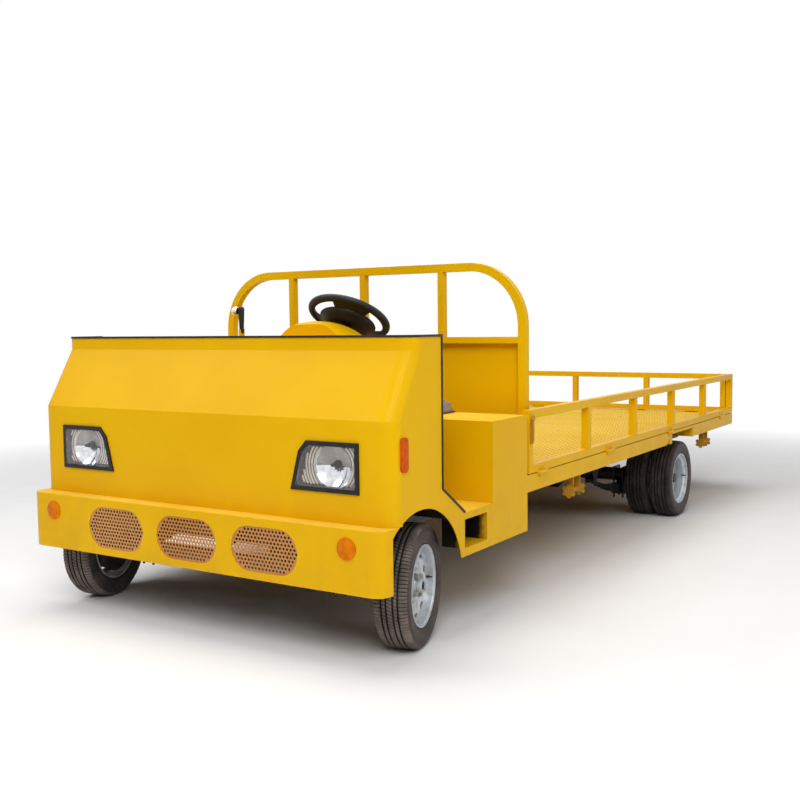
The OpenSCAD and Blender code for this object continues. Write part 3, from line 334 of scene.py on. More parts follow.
# Headlamp reflector: grey upper half and dark flat face as painted shade, light ribs as painted highlight
BOWL_TOP_PAINTED_SHADE = grained("bowl_top_painted_shade", srgb(160, 154, 149), srgb(198, 192, 186), 300, 0.0001, 0.3)
RIB_PAINTED_HIGHLIGHT = grained("rib_painted_highlight", srgb(214, 202, 190), srgb(236, 226, 216), 400, 0.0001, 0.25)
REFLECTOR_FACE_PAINTED_SHADE = grained("reflector_face_painted_shade", srgb(84, 73, 66), srgb(112, 100, 92), 300, 0.0001, 0.35)
BEZEL_GREY = grained("bezel_grey", srgb(92, 86, 84), srgb(128, 121, 118), 500, 0.0001, 0.4)
HUB_STEEL = grained("hub_steel", srgb(168, 172, 174), srgb(204, 207, 209), 500, 0.0001, 0.32)
# Tread: front ribs lighter as painted highlight, grooves and sipes near black as painted shade
TREAD_RIB_PAINTED_HIGHLIGHT = grained("tread_rib_painted_highlight", srgb(92, 83, 77), srgb(128, 116, 107), 600, 0.0003, 0.8)
TREAD_DARK = grained("tread_dark", srgb(44, 39, 37), srgb(70, 63, 59), 600, 0.0003, 0.8)
TREAD_GROOVE_PAINTED_SHADE = grained("tread_groove_painted_shade", srgb(15, 13, 12), srgb(34, 30, 28), 600, 0.0003, 0.8)
POCKET = pocket_shade()
THREAD = grained("thread", srgb(70, 60, 55), srgb(92, 80, 74), 2400, 0.0002, 0.7)


# Faces of CAD nodes with a finish of their own, by place in the frame

FACES_UP = 0.9
FLOOR_ABOVE = 0.50
TOP_SKIN = 5 * MM
POCKET_WITHIN = 0.97
POCKET_Y = (-1.867, -1.656)
POCKET_Z = (0.365, 0.496)
LATCH_ABOVE = 0.70
LATCH_REACH = 19.8 * MM
KNOB_HIGH = 45 * MM
KNOB_WIDE = 34 * MM
GRIP_HIGH = 128 * MM


def recolour(mesh, look, picks):
    """Gives another finish to the faces of a mesh that a test picks by middle and normal."""
    mesh.materials.append(look)
    for face in mesh.polygons:
        if picks(face.center, face.normal):
            face.material_index = len(mesh.materials) - 1


def lens_span():
    """Inner and outer distance of a headlamp's cover from the middle plane, and its foot and top."""
    low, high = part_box("headlamp_lenses")
    inner = min(abs(v.co.x) for v in nodes["headlamp_lenses"].data.vertices)
    return inner, high.x, low.z, high.z


def dress_lamps():
    """Reflector faces darkened as painted shade between the ribs, and bezels that are grey where they face
    their lamp.
    """
    nodes["side_markers"].data.materials[0] = MARKER_LENS
    # Forward faces of the reflector, between the ribs: painted shade
    recolour(nodes["headlamp_reflectors"].data, REFLECTOR_FACE_PAINTED_SHADE, lambda at, normal: normal.y < -0.98)
    inner, outer, foot, top = lens_span()

    def faces_lamp(at, normal):
        middle = Vector((math.copysign((inner + outer) / 2, at.x), at.y, (foot + top) / 2))
        return abs(normal.y) < 0.5 and normal.dot(middle - at) > 0
    recolour(nodes["headlamp_bezels"].data, BEZEL_GREY, faces_lamp)


def dress_lever():
    """Chrome knob and yellow arm of the brake lever; its grip stays black."""
    mesh = nodes["brake_lever"].data
    low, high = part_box("brake_lever")
    knob, grip = high.z - KNOB_HIGH, high.z - GRIP_HIGH
    recolour(mesh, LOOKS["lamp_chrome"], lambda at, normal: at.z > knob and at.x < low.x + KNOB_WIDE)
    recolour(mesh, LOOKS["body_yellow"], lambda at, normal: at.z < grip)


def dress_cad_nodes():
    """Gives every CAD node the finish of its material slot, and some faces one of their own."""
    for part in frame["record"]["subparts"]:
        mesh = nodes[part["node"]].data
        mesh.materials.clear()
        mesh.materials.append(LOOKS[part["material_slot"]])
    dress_lamps()
    dress_lever()
    # Upward faces of the cab floor, seat box and bumper get the paler yellow: painted light on their tops,
    # and on the cab floor also its own yellow
    recolour(nodes["cab_floor"].data, TOP_PAINTED_LIGHT_YELLOW, lambda at, normal: (
        normal.z > FACES_UP and at.z > FLOOR_ABOVE))
    for node in ("seat_box", "bumper"):
        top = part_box(node)[1].z - TOP_SKIN
        recolour(nodes[node].data, TOP_PAINTED_LIGHT_YELLOW, lambda at, normal: normal.z > FACES_UP and at.z > top)
    # The step's pockets get painted shade, black deeper in
    for node in ("side_panel_left", "side_panel_right"):
        recolour(nodes[node].data, POCKET, lambda at, normal: (
            normal.z < FACES_UP and abs(at.x) < POCKET_WITHIN
            and POCKET_Y[0] < at.y < POCKET_Y[1] and POCKET_Z[0] < at.z < POCKET_Z[1]))
    for node, outer_end in (("gate_left", 1), ("gate_right", 0)):
        latch = abs(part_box(node)[outer_end].x) - LATCH_REACH
        recolour(nodes[node].data, LOOKS["winch_ochre"], lambda at, normal: (
            abs(at.x) > latch and at.z > LATCH_ABOVE))


# Mesh helpers

def piece(name, mesh, look, body, smooth=True):
    """Links a mesh as a piece that rides on a body."""
    thing = bpy.data.objects.new(name, mesh)
    scene.collection.objects.link(thing)
    if mesh.materials:
        mesh.materials.clear()
    mesh.materials.append(look)
    for polygon in mesh.polygons:
        polygon.use_smooth = smooth
    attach(thing, body)
    return thing


def mesh_of(name, build):
    """New mesh filled by a function that is given an empty bmesh."""
    shape = bmesh.new()
    build(shape)
    bmesh.ops.recalc_face_normals(shape, faces=shape.faces)
    mesh = bpy.data.meshes.new(name)
    shape.to_mesh(mesh)
    shape.free()
    return mesh


def in_mm(points):
    """Points of a profile in metres, from millimetres."""
    return [(radius * MM, height * MM) for radius, height in points]


def facing(at, axis):
    """Matrix that sets local Z along an axis, at a place."""
    return Matrix.Translation(Vector(at)) @ Vector(axis).to_track_quat("Z", "Y").to_matrix().to_4x4()


def skin(shape, closed, loops):
    """Joins loops of points into a skin, capped at both ends unless it closes on itself."""
    rings = [[shape.verts.new(at) for at in loop] for loop in loops]
    sides = len(rings[0])
    for low, high in zip(rings, rings[1:] + (rings[:1] if closed else [])):
        for i in range(sides):
            j = (i + 1) % sides
            shape.faces.new((low[i], low[j], high[j], high[i]))
    if not closed:
        shape.faces.new(list(reversed(rings[0])))
        shape.faces.new(rings[-1])


def lathe(shape, place, profile, sides, turn=0.0, ring=False):
    """Adds a turned solid: rings of (radius, height), capped at both ends or joined into a ring."""
    angles = [turn + math.tau * i / sides for i in range(sides)]
    skin(shape, ring, [
        [place @ Vector((radius * math.cos(a), radius * math.sin(a), height)) for a in angles]
        for radius, height in profile
    ])


def tube(shape, points, radius, sides=8, closed=False):
    """Adds a round tube along points; its ends are capped, or it closes on itself."""
    count = len(points)
    angles = [math.tau * k / sides for k in range(sides)]
    loops = []
    for i, at in enumerate(points):
        before = points[i - 1] if closed or i else at
        after = points[(i + 1) % count] if closed or i < count - 1 else at
        place = facing(at, after - before)
        size = radius[i] if isinstance(radius, list) else radius
        loops.append([place @ Vector((size * math.cos(a), size * math.sin(a), 0)) for a in angles])
    skin(shape, closed, loops)


def bolt(shape, place, size, turn):
    """Adds a hexagon head of a width on a washer."""
    washer = size * 0.78
    lathe(shape, place, [(washer, 0), (washer, size * 0.10), (washer * 0.93, size * 0.14)], 18)
    raised = place @ Matrix.Translation((0, 0, size * 0.12))
    head = size * 0.577
    lathe(shape, raised, [(head, 0), (head, size * 0.48), (head * 0.86, size * 0.58)], 6, turn)


# Tyres

SIPES = 104
SIPE_STEPS = (0.0, 0.66, 0.74, 0.92)
SIPE_FLOOR = 2
SIPE_DEEP = 3.6 * MM
SIPE_LEAN = 0.8
GROOVES = ((11 * MM, 16.5 * MM), (31 * MM, 37 * MM))
GROOVE_DEEP = 8 * MM
GROOVE_WALL = 0.8 * MM
TREAD_SHARE = 0.80
CROWN_DROP = 3.5 * MM
WALL_DROP = 15 * MM
# Side wall: shares of the way down to the bead and of the tyre's half width
WALL = (
    (0.2, 0.985), (0.23, 0.997), (0.27, 0.998), (0.30, 0.990), (0.45, 1.0), (0.62, 0.985),
    (0.74, 0.945), (0.77, 0.955), (0.82, 0.95), (0.85, 0.925), (0.95, 0.87), (1.0, 0.80))
WALL_TONE, RIB_TONE, GROOVE_PAINTED_SHADE_TONE = range(3)


def tyre_half_profile(radius, seat, half):
    """Points (distance from the middle, radius, share of the sipe depth) from the crown to the bead."""
    tread = half * TREAD_SHARE

    def crown(x):
        return radius - CROWN_DROP * (x / tread) ** 2

    points = [(0.0, crown(0), 0.4)]
    for inner, outer in GROOVES:
        points += [(inner - GROOVE_WALL, crown(inner), 0.4), (inner, crown(inner) - GROOVE_DEEP, 0.0)]
        points += [(outer, crown(outer) - GROOVE_DEEP, 0.0), (outer + GROOVE_WALL, crown(outer), 0.8)]
    edge = crown(tread)
    points += [(tread * 0.82, crown(tread * 0.82), 1.0), (tread, edge, 1.0)]
    points += [(half * 0.90, edge - 4.5 * MM, 1.0), (half * 0.955, edge - 12 * MM, 0.9)]
    wall_top = edge - WALL_DROP
    points.append((half * 0.965, wall_top, 0.0))
    points += [(half * reach, wall_top - share * (wall_top - seat), 0.0) for share, reach in WALL]
    return points


def tread_tone(first, second, in_sipe):
    """Finish of a face between two profile points: side wall, rib (at the front lighter as painted
    highlight), or groove or sipe darkened as painted shade.
    """
    middle = abs(first[0] + second[0]) / 2
    if any(inner - GROOVE_WALL < middle < outer + GROOVE_WALL for inner, outer in GROOVES):
        return GROOVE_PAINTED_SHADE_TONE
    if min(first[2], second[2]) == 0.0:
        return WALL_TONE
    return GROOVE_PAINTED_SHADE_TONE if in_sipe else RIB_TONE


def add_tyre(shape, place, radius, seat, half):
    """Adds one tyre about local X, with grooves round it and sipes across its ribs."""
    right = tyre_half_profile(radius, seat, half)
    profile = [(-x, r, cut) for x, r, cut in reversed(right[1:])] + right
    skew_reach = GROOVES[1][0]
    rows = []
    for sipe in range(SIPES):
        for step, share in enumerate(SIPE_STEPS):
            cut_here = SIPE_DEEP if step >= SIPE_FLOOR else 0.0
            row = []
            for x, r, cut in profile:
                lean = max(-1.0, min(1.0, x / skew_reach)) * SIPE_LEAN
                angle = math.tau * (sipe + share + lean) / SIPES
                reach = r - cut * cut_here
                at = Vector((x, reach * math.cos(angle), reach * math.sin(angle)))
                row.append(shape.verts.new(place @ at))
            rows.append(row)
    for i, row in enumerate(rows):
        after = rows[(i + 1) % len(rows)]
        in_sipe = i % len(SIPE_STEPS) == SIPE_FLOOR
        for j in range(len(profile) - 1):
            face = shape.faces.new((row[j], row[j + 1], after[j + 1], after[j]))
            face.material_index = tread_tone(profile[j], profile[j + 1], in_sipe)
        shape.faces.new((row[-1], row[0], after[0], after[-1]))


WHEELS = (("front", "left"), ("front", "right"), ("rear", "left"), ("rear", "right"))
TYRE_WIDE = 145 * MM
TYRE_SEAT_GAP = 1 * MM


def tyre_node(end, side):
    """CAD node of one wheel's tyre, or of its two tyres at the rear."""
    return f"front_tyre_{side}" if end == "front" else f"rear_tyres_{side}"


def wheel_places(end, side):
    """Body of one wheel and a matrix for each of its tyres, with local X along the axle, outwards."""
    body = f"front_wheel_{side}" if end == "front" else f"rear_wheels_{side}"
    low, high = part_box(tyre_node(end, side))
    axis = Vector(joints[body]["axis"]) * (1 if side == "left" else -1)
    turn = Matrix.Rotation(math.atan2(axis.y, axis.x), 4, "Z")
    reach = (high.x - low.x - TYRE_WIDE) / 2 if end == "rear" else 0.0
    centre = (low + high) / 2
    spots = (centre + axis * reach, centre - axis * reach) if end == "rear" else (centre,)
    return body, [Matrix.Translation(spot) @ turn for spot in spots]


def add_tyres():
    """Grooved tyres in place of the plain ones."""
    for end, side in WHEELS:
        node = tyre_node(end, side)
        body, places = wheel_places(end, side)
        low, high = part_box(node)
        rim_low, rim_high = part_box(node.replace("tyre", "rim"))
        radius, seat = (high.z - low.z) / 2, (rim_high.z - rim_low.z) / 2

        def build(shape):
            for place in places:
                add_tyre(shape, place, radius, seat + TYRE_SEAT_GAP, TYRE_WIDE / 2)
        mesh = mesh_of(node + "_tread", build)
        tyre = piece(node + "_tread", mesh, LOOKS["tyre_rubber"], body)
        # Front ribs in a painted highlight, rear ribs dark; grooves and sipes in painted shade
        tyre.data.materials.append(TREAD_RIB_PAINTED_HIGHLIGHT if end == "front" else TREAD_DARK)
        tyre.data.materials.append(TREAD_GROOVE_PAINTED_SHADE)
        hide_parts(node)


# For each end: number of nuts, their circle, width and seat, and the seat of the valve
FITTINGS = {
    "front": (4, 49.5 * MM, 19 * MM, 34 * MM, 28 * MM),
    "rear": (5, 56 * MM, 15 * MM, -26 * MM, 30 * MM),
}
FIRST_NUT = 0.35
VALVE_REACH = 146 * MM
VALVE = in_mm([(5, 0), (5, 14), (3.4, 16), (3.4, 26), (2.2, 28)])
BRAKE_DRUM = in_mm([
    (24, 6), (56, 8), (70, -2), (122, -6), (126, -50), (132, -54), (132, -60), (24, -60)])
HUB_CAP = in_mm([
    (22.5, 37), (29, 38.2), (28.2, 53), (26, 59), (21, 61.5), (18, 60.5), (17.5, 57.8), (24, 55)])
HUB_PLUG = in_mm([(18.2, 57.8), (18.2, 58.8), (10, 59.4), (9, 62.5), (6, 63.5)])
HUB_OPENING = 18.5 * MM


def add_hub(side, outward, body):
    """Brake drum behind a front wheel, and its steel hub cap with a dark middle."""
    def drum(shape):
        lathe(shape, outward, BRAKE_DRUM, 48, ring=True)
    piece(f"brake_drum_{side}", mesh_of("brake_drum", drum), LOOKS["frame_black"], body)

    def cap(shape):
        lathe(shape, outward, HUB_CAP, 32, ring=True)
        lathe(shape, outward, HUB_PLUG, 16)
    hub = piece(f"hub_cap_{side}", mesh_of("hub_cap", cap), HUB_STEEL, body)
    to_wheel = outward.inverted()
    recolour(hub.data, LOOKS["black_plastic"], lambda at, normal: (to_wheel @ at).xy.length < HUB_OPENING)


def add_wheel_fittings():
    """Nuts and a valve on each outer wheel, and the front hubs."""
    for end, side in WHEELS:
        count, circle, width, nut_seat, valve_seat = FITTINGS[end]
        body, places = wheel_places(end, side)
        outward = places[0] @ Matrix.Rotation(math.pi / 2, 4, "Y")

        def nuts(shape):
            for i in range(count):
                angle = math.tau * (i + FIRST_NUT) / count
                at = Matrix.Translation((circle * math.cos(angle), circle * math.sin(angle), nut_seat))
                bolt(shape, outward @ at, width, angle)
        piece(f"{end}_wheel_nuts_{side}", mesh_of("nuts", nuts), BOLT_STEEL, body, smooth=False)

        def valve(shape):
            lathe(shape, outward @ Matrix.Translation((0, VALVE_REACH, valve_seat)), VALVE, 12)
        piece(f"{end}_valve_{side}", mesh_of("valve", valve), LOOKS["black_plastic"], body)
        if end == "front":
            add_hub(side, outward, body)


# Deck

LUG_PITCH = 30 * MM
LUG_LONG = 25 * MM
LUG_WIDE = 9.5 * MM
LUG_HIGH = 2.6 * MM
LUG_SUNK = 0.2 * MM


def add_lug(shape, x, y, z, turn):
    """Adds one lentil-shaped raised lug."""
    c, s = math.cos(turn), math.sin(turn)

    def corner(u, v, h):
        return shape.verts.new((x + u * c - v * s, y + u * s + v * c, z + h))
    half, wide = LUG_LONG / 2, LUG_WIDE / 2
    rim = [corner(u, v, 0) for u, v in (
        (half, 0), (half * 0.45, wide * 0.86), (-half * 0.45, wide * 0.86), (-half, 0),
        (-half * 0.45, -wide * 0.86), (half * 0.45, -wide * 0.86))]
    top = [corner(u, 0, LUG_HIGH) for u in (half * 0.55, -half * 0.55)]
    shape.faces.new((rim[0], rim[1], top[0]))
    shape.faces.new((rim[1], rim[2], top[1], top[0]))
    shape.faces.new((rim[2], rim[3], top[1]))
    shape.faces.new((rim[3], rim[4], top[1]))
    shape.faces.new((rim[4], rim[5], top[0], top[1]))
    shape.faces.new((rim[5], rim[0], top[0]))


def add_deck_lugs():
    """Raised lugs of the tread plate, turned one way and the other by turns."""
    low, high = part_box("deck_plate")
    across = int((high.x - low.x - LUG_PITCH) / LUG_PITCH)
    back = int((high.y - low.y - LUG_PITCH) / LUG_PITCH)

    def build(shape):
        for i in range(across):
            for j in range(back):
                x = (low.x + high.x) / 2 + (i - (across - 1) / 2) * LUG_PITCH
                y = (low.y + high.y) / 2 + (j - (back - 1) / 2) * LUG_PITCH
                turn = math.radians(45 if (i + j) % 2 else -45)
                add_lug(shape, x, y, high.z - LUG_SUNK, turn)
    # The lugs' lighter yellow is a painted highlight
    piece("deck_lugs", mesh_of("deck_lugs", build), LUG_PAINTED_HIGHLIGHT, "chassis", smooth=False)


# Bench

CUSHION_ROUND = 26 * MM
CUSHION_SHRINK = 7 * MM
CUSHION_VOXEL = 7 * MM
CUSHION_CAP = 12 * MM
CUSHION_LIFT = 0.5 * MM
COVER_PRESSURE = 4.0
COVER_STIFF = 40
COVER_FRAMES = 20
HELD_HIGH = 8 * MM
CHANNELS = (-0.205, 0.205)
CHANNEL_WIDE = 7 * MM
CHANNEL_DEEP = 7 * MM
CROWN_HIGH = 5 * MM
WAIST_DEEP = 2.5 * MM
PIPING_INSET = 3 * MM
PIPING_CORNER = 22 * MM
PIPING_HIGH = 5 * MM
PIPING_RADIUS = 3.2 * MM


def cushion_start(low, high):
    """Crowned block with round edges, a little smaller than the cushion's solid."""
    low = low + Vector((CUSHION_SHRINK, CUSHION_SHRINK, CUSHION_LIFT))
    high = high - Vector((CUSHION_SHRINK, CUSHION_SHRINK, CUSHION_SHRINK))

    def build(shape):
        bmesh.ops.create_cube(shape, size=1.0)
        for vert in shape.verts:
            vert.co = Vector(((low.x, high.x)[vert.co.x > 0], (low.y, high.y)[vert.co.y > 0],
                              (low.z, high.z)[vert.co.z > 0]))
        upper = [edge for edge in shape.edges if any(v.co.z > (low.z + high.z) / 2 for v in edge.verts)]
        bmesh.ops.bevel(shape, geom=upper, offset=CUSHION_ROUND, segments=6, profile=0.5, affect="EDGES")
    return mesh_of("bench_start", build)


def puff(thing, low):
    """Lets pressure fill the cover of a cushion whose underside is held, as far as a cap."""
    held = thing.vertex_groups.new(name="held")
    held.add([v.index for v in thing.data.vertices if v.co.z < low.z + HELD_HIGH], 1.0, "REPLACE")
    cloth = thing.modifiers.new("cover", "CLOTH")
    cloth.settings.vertex_group_mass = "held"
    cloth.settings.use_pressure = True
    cloth.settings.uniform_pressure_force = COVER_PRESSURE
    cloth.settings.tension_stiffness = COVER_STIFF
    cloth.settings.compression_stiffness = COVER_STIFF
    cloth.settings.effector_weights.gravity = 0.0
    cloth.point_cache.frame_end = COVER_FRAMES
    for step in range(1, COVER_FRAMES + 1):
        scene.frame_set(step)
    view = bpy.context.evaluated_depsgraph_get()
    moved = [v.co.copy() for v in thing.evaluated_get(view).data.vertices]
    thing.modifiers.remove(cloth)
    thing.vertex_groups.clear()
    scene.frame_set(1)
    for vert, to in zip(thing.data.vertices, moved):
        step = to - vert.co
        if step.length > CUSHION_CAP:
            step *= CUSHION_CAP / step.length
        vert.co += step


def sew(mesh, low, high):
    """Pulls in the sewn channels and the sides between the corners, and keeps the underside flat."""
    mid = (low + high) / 2
    for vert in mesh.vertices:
        rise = max(0.0, min(1.0, (vert.co.z - low.z) / (high.z - low.z)))
        across = (vert.co.x - mid.x) / (high.x - low.x)
        back = (vert.co.y - mid.y) / (high.y - low.y)
        for spot in CHANNELS:
            gap = (vert.co.x - mid.x - spot) / CHANNEL_WIDE
            vert.co.z -= CHANNEL_DEEP * rise * math.exp(-gap * gap)
        crown = max(0.0, 1 - 4 * across * across) * max(0.0, 1 - 4 * back * back)
        vert.co.z += CROWN_HIGH * rise * crown
        waist = math.cos(math.pi * across) if abs(across) < 0.5 else 0.0
        vert.co.y -= WAIST_DEEP * waist * math.copysign(1, back) * (abs(back) > 0.4)
        vert.co.z = max(vert.co.z, low.z)


def piping_loop(low, high, steps=10):
    """Points round the foot of the cushion, with round corners."""
    points = []
    inset = PIPING_INSET + PIPING_CORNER
    for right, far, start in ((True, True, 0), (False, True, 90), (False, False, 180), (True, False, 270)):
        corner = Vector((high.x - inset if right else low.x + inset,
                         high.y - inset if far else low.y + inset, low.z + PIPING_HIGH))
        for i in range(steps + 1):
            angle = math.radians(start + 90 * i / steps)
            points.append(corner + PIPING_CORNER * Vector((math.cos(angle), math.sin(angle), 0)))
    return points


def keep_modified(thing, kind, **settings):
    """Replaces an object's mesh by what a modifier makes of it."""
    modifier = thing.modifiers.new(kind, kind)
    for key, value in settings.items():
        setattr(modifier, key, value)
    view = bpy.context.evaluated_depsgraph_get()
    thing.data = bpy.data.meshes.new_from_object(thing.evaluated_get(view))
    thing.modifiers.remove(modifier)


def add_bench():
    """Vinyl cushion with a filled cover, sewn channels and piping."""
    low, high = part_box("seat_cushion")
    bench = piece("bench_cushion", cushion_start(low, high), LOOKS["seat_vinyl"], "chassis")
    keep_modified(bench, "REMESH", mode="VOXEL", voxel_size=CUSHION_VOXEL)
    puff(bench, low)
    sew(bench.data, low, high)
    keep_modified(bench, "SUBSURF", levels=1, render_levels=1)
    for face in bench.data.polygons:
        face.use_smooth = True
    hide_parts("seat_cushion")

    def piping(shape):
        tube(shape, piping_loop(low, high), PIPING_RADIUS, 8, closed=True)
    piece("bench_piping", mesh_of("bench_piping", piping), THREAD, "chassis")


# Lamps

BOWL_IN = 116 * MM
BOWL_RADIUS = 119 * MM
BOWL_FRONT = 82 * MM
CORNER_CUT = ((70 * MM, 0.0), (36 * MM, 36 * MM))
RIB_FIRST = 93 * MM
RIB_STEP = 13.5 * MM
RIB_COUNT = 9
RIB_RADIUS = 4.8 * MM
RIB_SUNK = 1.7 * MM
RIB_MARGIN = 6 * MM
RIB_STEPS = 180
SHADE_RADIUS = 118.5 * MM
SHADE_THICK = 1.0 * MM
SHADE_REACH = 0.985
SHADE_RINGS, SHADE_SECTORS = 8, 24
BULB_UP = 6 * MM
BULB = in_mm([(17, 0), (17, 12), (13, 15), (11, 30), (7, 36), (6.5, 48), (3, 53)])


def inside(outline, x, z, margin):
    """Whether a point lies inside an anticlockwise convex outline by a margin."""
    for (ax, az), (bx, bz) in zip(outline, outline[1:] + outline[:1]):
        length = math.hypot(bx - ax, bz - az)
        side = ((bx - ax) * (z - az) - (bz - az) * (x - ax)) / length
        if side < margin:
            return False
    return True


def rib_runs(outline, bowl, radius):
    """Stretches of a circle round the bowl that lie on the lamp's face."""
    runs = [[]]
    for step in range(RIB_STEPS + 1):
        angle = math.tau * step / RIB_STEPS
        x, z = bowl.x + radius * math.cos(angle), bowl.z + radius * math.sin(angle)
        if inside(outline, x, z, RIB_MARGIN):
            runs[-1].append((x, z))
        elif runs[-1]:
            runs.append([])
    return [run for run in runs if len(run) > 2]


def add_shade(shape, centre):
    """Adds the upper half of a bowl, just inside the reflector's own."""
    rim = math.acos(BOWL_FRONT / SHADE_RADIUS)
    grid = []
    for i in range(SHADE_RINGS + 1):
        polar = rim * SHADE_REACH * i / SHADE_RINGS
        flat, deep = SHADE_RADIUS * math.sin(polar), SHADE_RADIUS * math.cos(polar)
        angles = [math.pi * j / SHADE_SECTORS for j in range(SHADE_SECTORS + 1)]
        grid.append([
            shape.verts.new(centre + Vector((flat * math.cos(a), deep, flat * math.sin(a)))) for a in angles])
    for inner, outer in zip(grid, grid[1:]):
        for j in range(SHADE_SECTORS):
            shape.faces.new((inner[j], inner[j + 1], outer[j + 1], outer[j]))
    bmesh.ops.remove_doubles(shape, verts=shape.verts, dist=0.01 * MM)
    bmesh.ops.solidify(shape, geom=shape.faces[:], thickness=SHADE_THICK)


def add_lamp_inserts():
    """Ribs round each headlamp's bowl in a painted highlight, its upper half in painted shade, and the bulb's
    holder.
    """
    inner, outer, foot, top = lens_span()
    cut = [(inner + across, top - down) for across, down in CORNER_CUT]
    outline = [(outer, foot), (outer, top), *cut, (inner, foot)]
    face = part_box("headlamp_reflectors")[0].y
    bowl = Vector((outer - BOWL_IN, face - BOWL_FRONT, (foot + top) / 2))
    for name, side in (("left", 1), ("right", -1)):
        centre = Vector((side * bowl.x, bowl.y, bowl.z))

        def ribs(shape):
            for ring in range(RIB_COUNT):
                for run in rib_runs(outline, bowl, RIB_FIRST + ring * RIB_STEP):
                    points = [Vector((side * x, face + RIB_SUNK, z)) for x, z in run]
                    tube(shape, points, RIB_RADIUS, 10)
        # The ribs' light colour is a painted highlight on the chrome
        piece(f"lamp_ribs_{name}", mesh_of("lamp_ribs", ribs), RIB_PAINTED_HIGHLIGHT, "chassis")

        def shade(shape):
            add_shade(shape, centre)
        # A grey shell over the upper half of the chrome bowl: painted shade
        piece(f"lamp_shade_{name}", mesh_of("lamp_shade", shade), BOWL_TOP_PAINTED_SHADE, "chassis")

        def holder(shape):
            lathe(shape, facing(centre + Vector((0, BOWL_RADIUS, BULB_UP)), (0, -1, 0)), BULB, 24)
        mesh = mesh_of("lamp_bulb", holder)
        piece(f"lamp_bulb_{name}", mesh, LOOKS["black_plastic"], "chassis")


# Small fittings

WHEEL_SKIRT = in_mm([
    (66, -66), (90, -57), (118, -34), (129, -21), (127, -18), (112, -29), (86, -46), (66, -57.5)])


def add_wheel_skirt():
    """Moulded skirt under the steering wheel, from its hub out towards the rim."""
    joint = joints["steering_wheel"]
    place = facing(joint["pos_m"], joint["axis"])
    mesh = mesh_of("wheel_skirt", lambda shape: lathe(shape, place, WHEEL_SKIRT, 64, ring=True))
    piece("wheel_skirt", mesh, LOOKS["black_plastic"], "steering_wheel")


GATE_RAIL = 40 * MM
GATE_HIGH = 301 * MM
GATE_SKINS = (0.950, 0.990)
WELD_STEPS = 15
WELD_RADIUS = 2.2 * MM
WELD_WAVE = 0.5 * MM


def add_weld(shape, start, long_axis, phase):
    """Adds one rippled bead, as long as a rail is wide."""
    points, sizes = [], []
    for k in range(WELD_STEPS):
        at = start.copy()
        at[long_axis] += GATE_RAIL * (k + 0.5) / WELD_STEPS
        points.append(at)
        sizes.append(WELD_RADIUS + WELD_WAVE * math.sin(2.4 * k + phase))
    tube(shape, points, sizes, 6)


def add_welds():
    """Weld beads where the posts of the gates meet their rails."""
    for node, posts, side in (("gate_left", 6, 1), ("gate_right", 6, -1), ("tail_gate", 4, 0)):
        low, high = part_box(node)
        long_axis = 1 if side else 0
        skins = sorted(side * x for x in GATE_SKINS) if side else (low.y, low.y + GATE_RAIL)
        pitch = (high[long_axis] - low[long_axis] - GATE_RAIL) / (posts - 1)

        def build(shape):
            for i in range(posts):
                for z in (high.z - GATE_HIGH + GATE_RAIL, high.z - GATE_RAIL):
                    for across in skins:
                        start = Vector((0, 0, z))
                        start[long_axis] = low[long_axis] + i * pitch
                        start[1 - long_axis] = across
                        add_weld(shape, start, long_axis, i)
        piece(node + "_welds", mesh_of(node + "_welds", build), LOOKS["body_yellow"], node)


SCREW_ROWS = 7
SCREW_FROM_END = 30 * MM
SCREW_FROM_SIDE = 22 * MM
SCREW_SUNK = 1 * MM
SCREW = in_mm([(9, 0), (9, 2.2), (7, 3.2), (4, 3.2), (3.6, 1.8)])


def add_deck_screws():
    """Flat screws that hold the deck to the bed's cross rails."""
    low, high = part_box("deck_plate")
    pitch = (high.y - low.y - 2 * SCREW_FROM_END) / (SCREW_ROWS - 1)

    def build(shape):
        for i in range(SCREW_ROWS):
            y = low.y + SCREW_FROM_END + i * pitch
            for x in (low.x + SCREW_FROM_SIDE, low.x / 3, high.x / 3, high.x - SCREW_FROM_SIDE):
                lathe(shape, facing((x, y, high.z - SCREW_SUNK), (0, 0, 1)), SCREW, 14)
    piece("deck_screws", mesh_of("deck_screws", build), BOLT_STEEL, "chassis")


# Stage

def add_camera():
    """Camera at the photograph's viewpoint."""
    forward = Vector((
        -math.sin(CAMERA_YAW) * math.cos(CAMERA_PITCH),
        math.cos(CAMERA_YAW) * math.cos(CAMERA_PITCH),
        -math.sin(CAMERA_PITCH)))
    level_right = forward.cross(Vector((0, 0, 1))).normalized()
    level_up = level_right.cross(forward)
    right = math.cos(CAMERA_ROLL) * level_right + math.sin(CAMERA_ROLL) * level_up
    up = math.cos(CAMERA_ROLL) * level_up - math.sin(CAMERA_ROLL) * level_right
    data = bpy.data.cameras.new("camera")
    data.sensor_width = SENSOR_MM
    data.lens = FOCAL_PX / IMAGE_PX * SENSOR_MM
    camera = bpy.data.objects.new("camera", data)
    turn = Matrix((right, up, -forward)).transposed().to_4x4()
    camera.matrix_world = Matrix.Translation(CAMERA_AT) @ turn
    scene.collection.objects.link(camera)
    scene.camera = camera


def seen_directly(tree):
    """1 for rays from the camera, and for those that mirrors and glass send on."""
    path = tree.nodes.new("ShaderNodeLightPath")
    found = path.outputs["Is Camera Ray"]
    for name in ("Is Glossy Ray", "Is Transmission Ray"):
        either = tree.nodes.new("ShaderNodeMath")
        either.operation = "MAXIMUM"
        tree.links.new(found, either.inputs[0])
        tree.links.new(path.outputs[name], either.inputs[1])
        found = either.outputs["Value"]
    return found


SKY_FROM = -0.1
SKY_LOW, SKY_HIGH = 1.12, 1.5


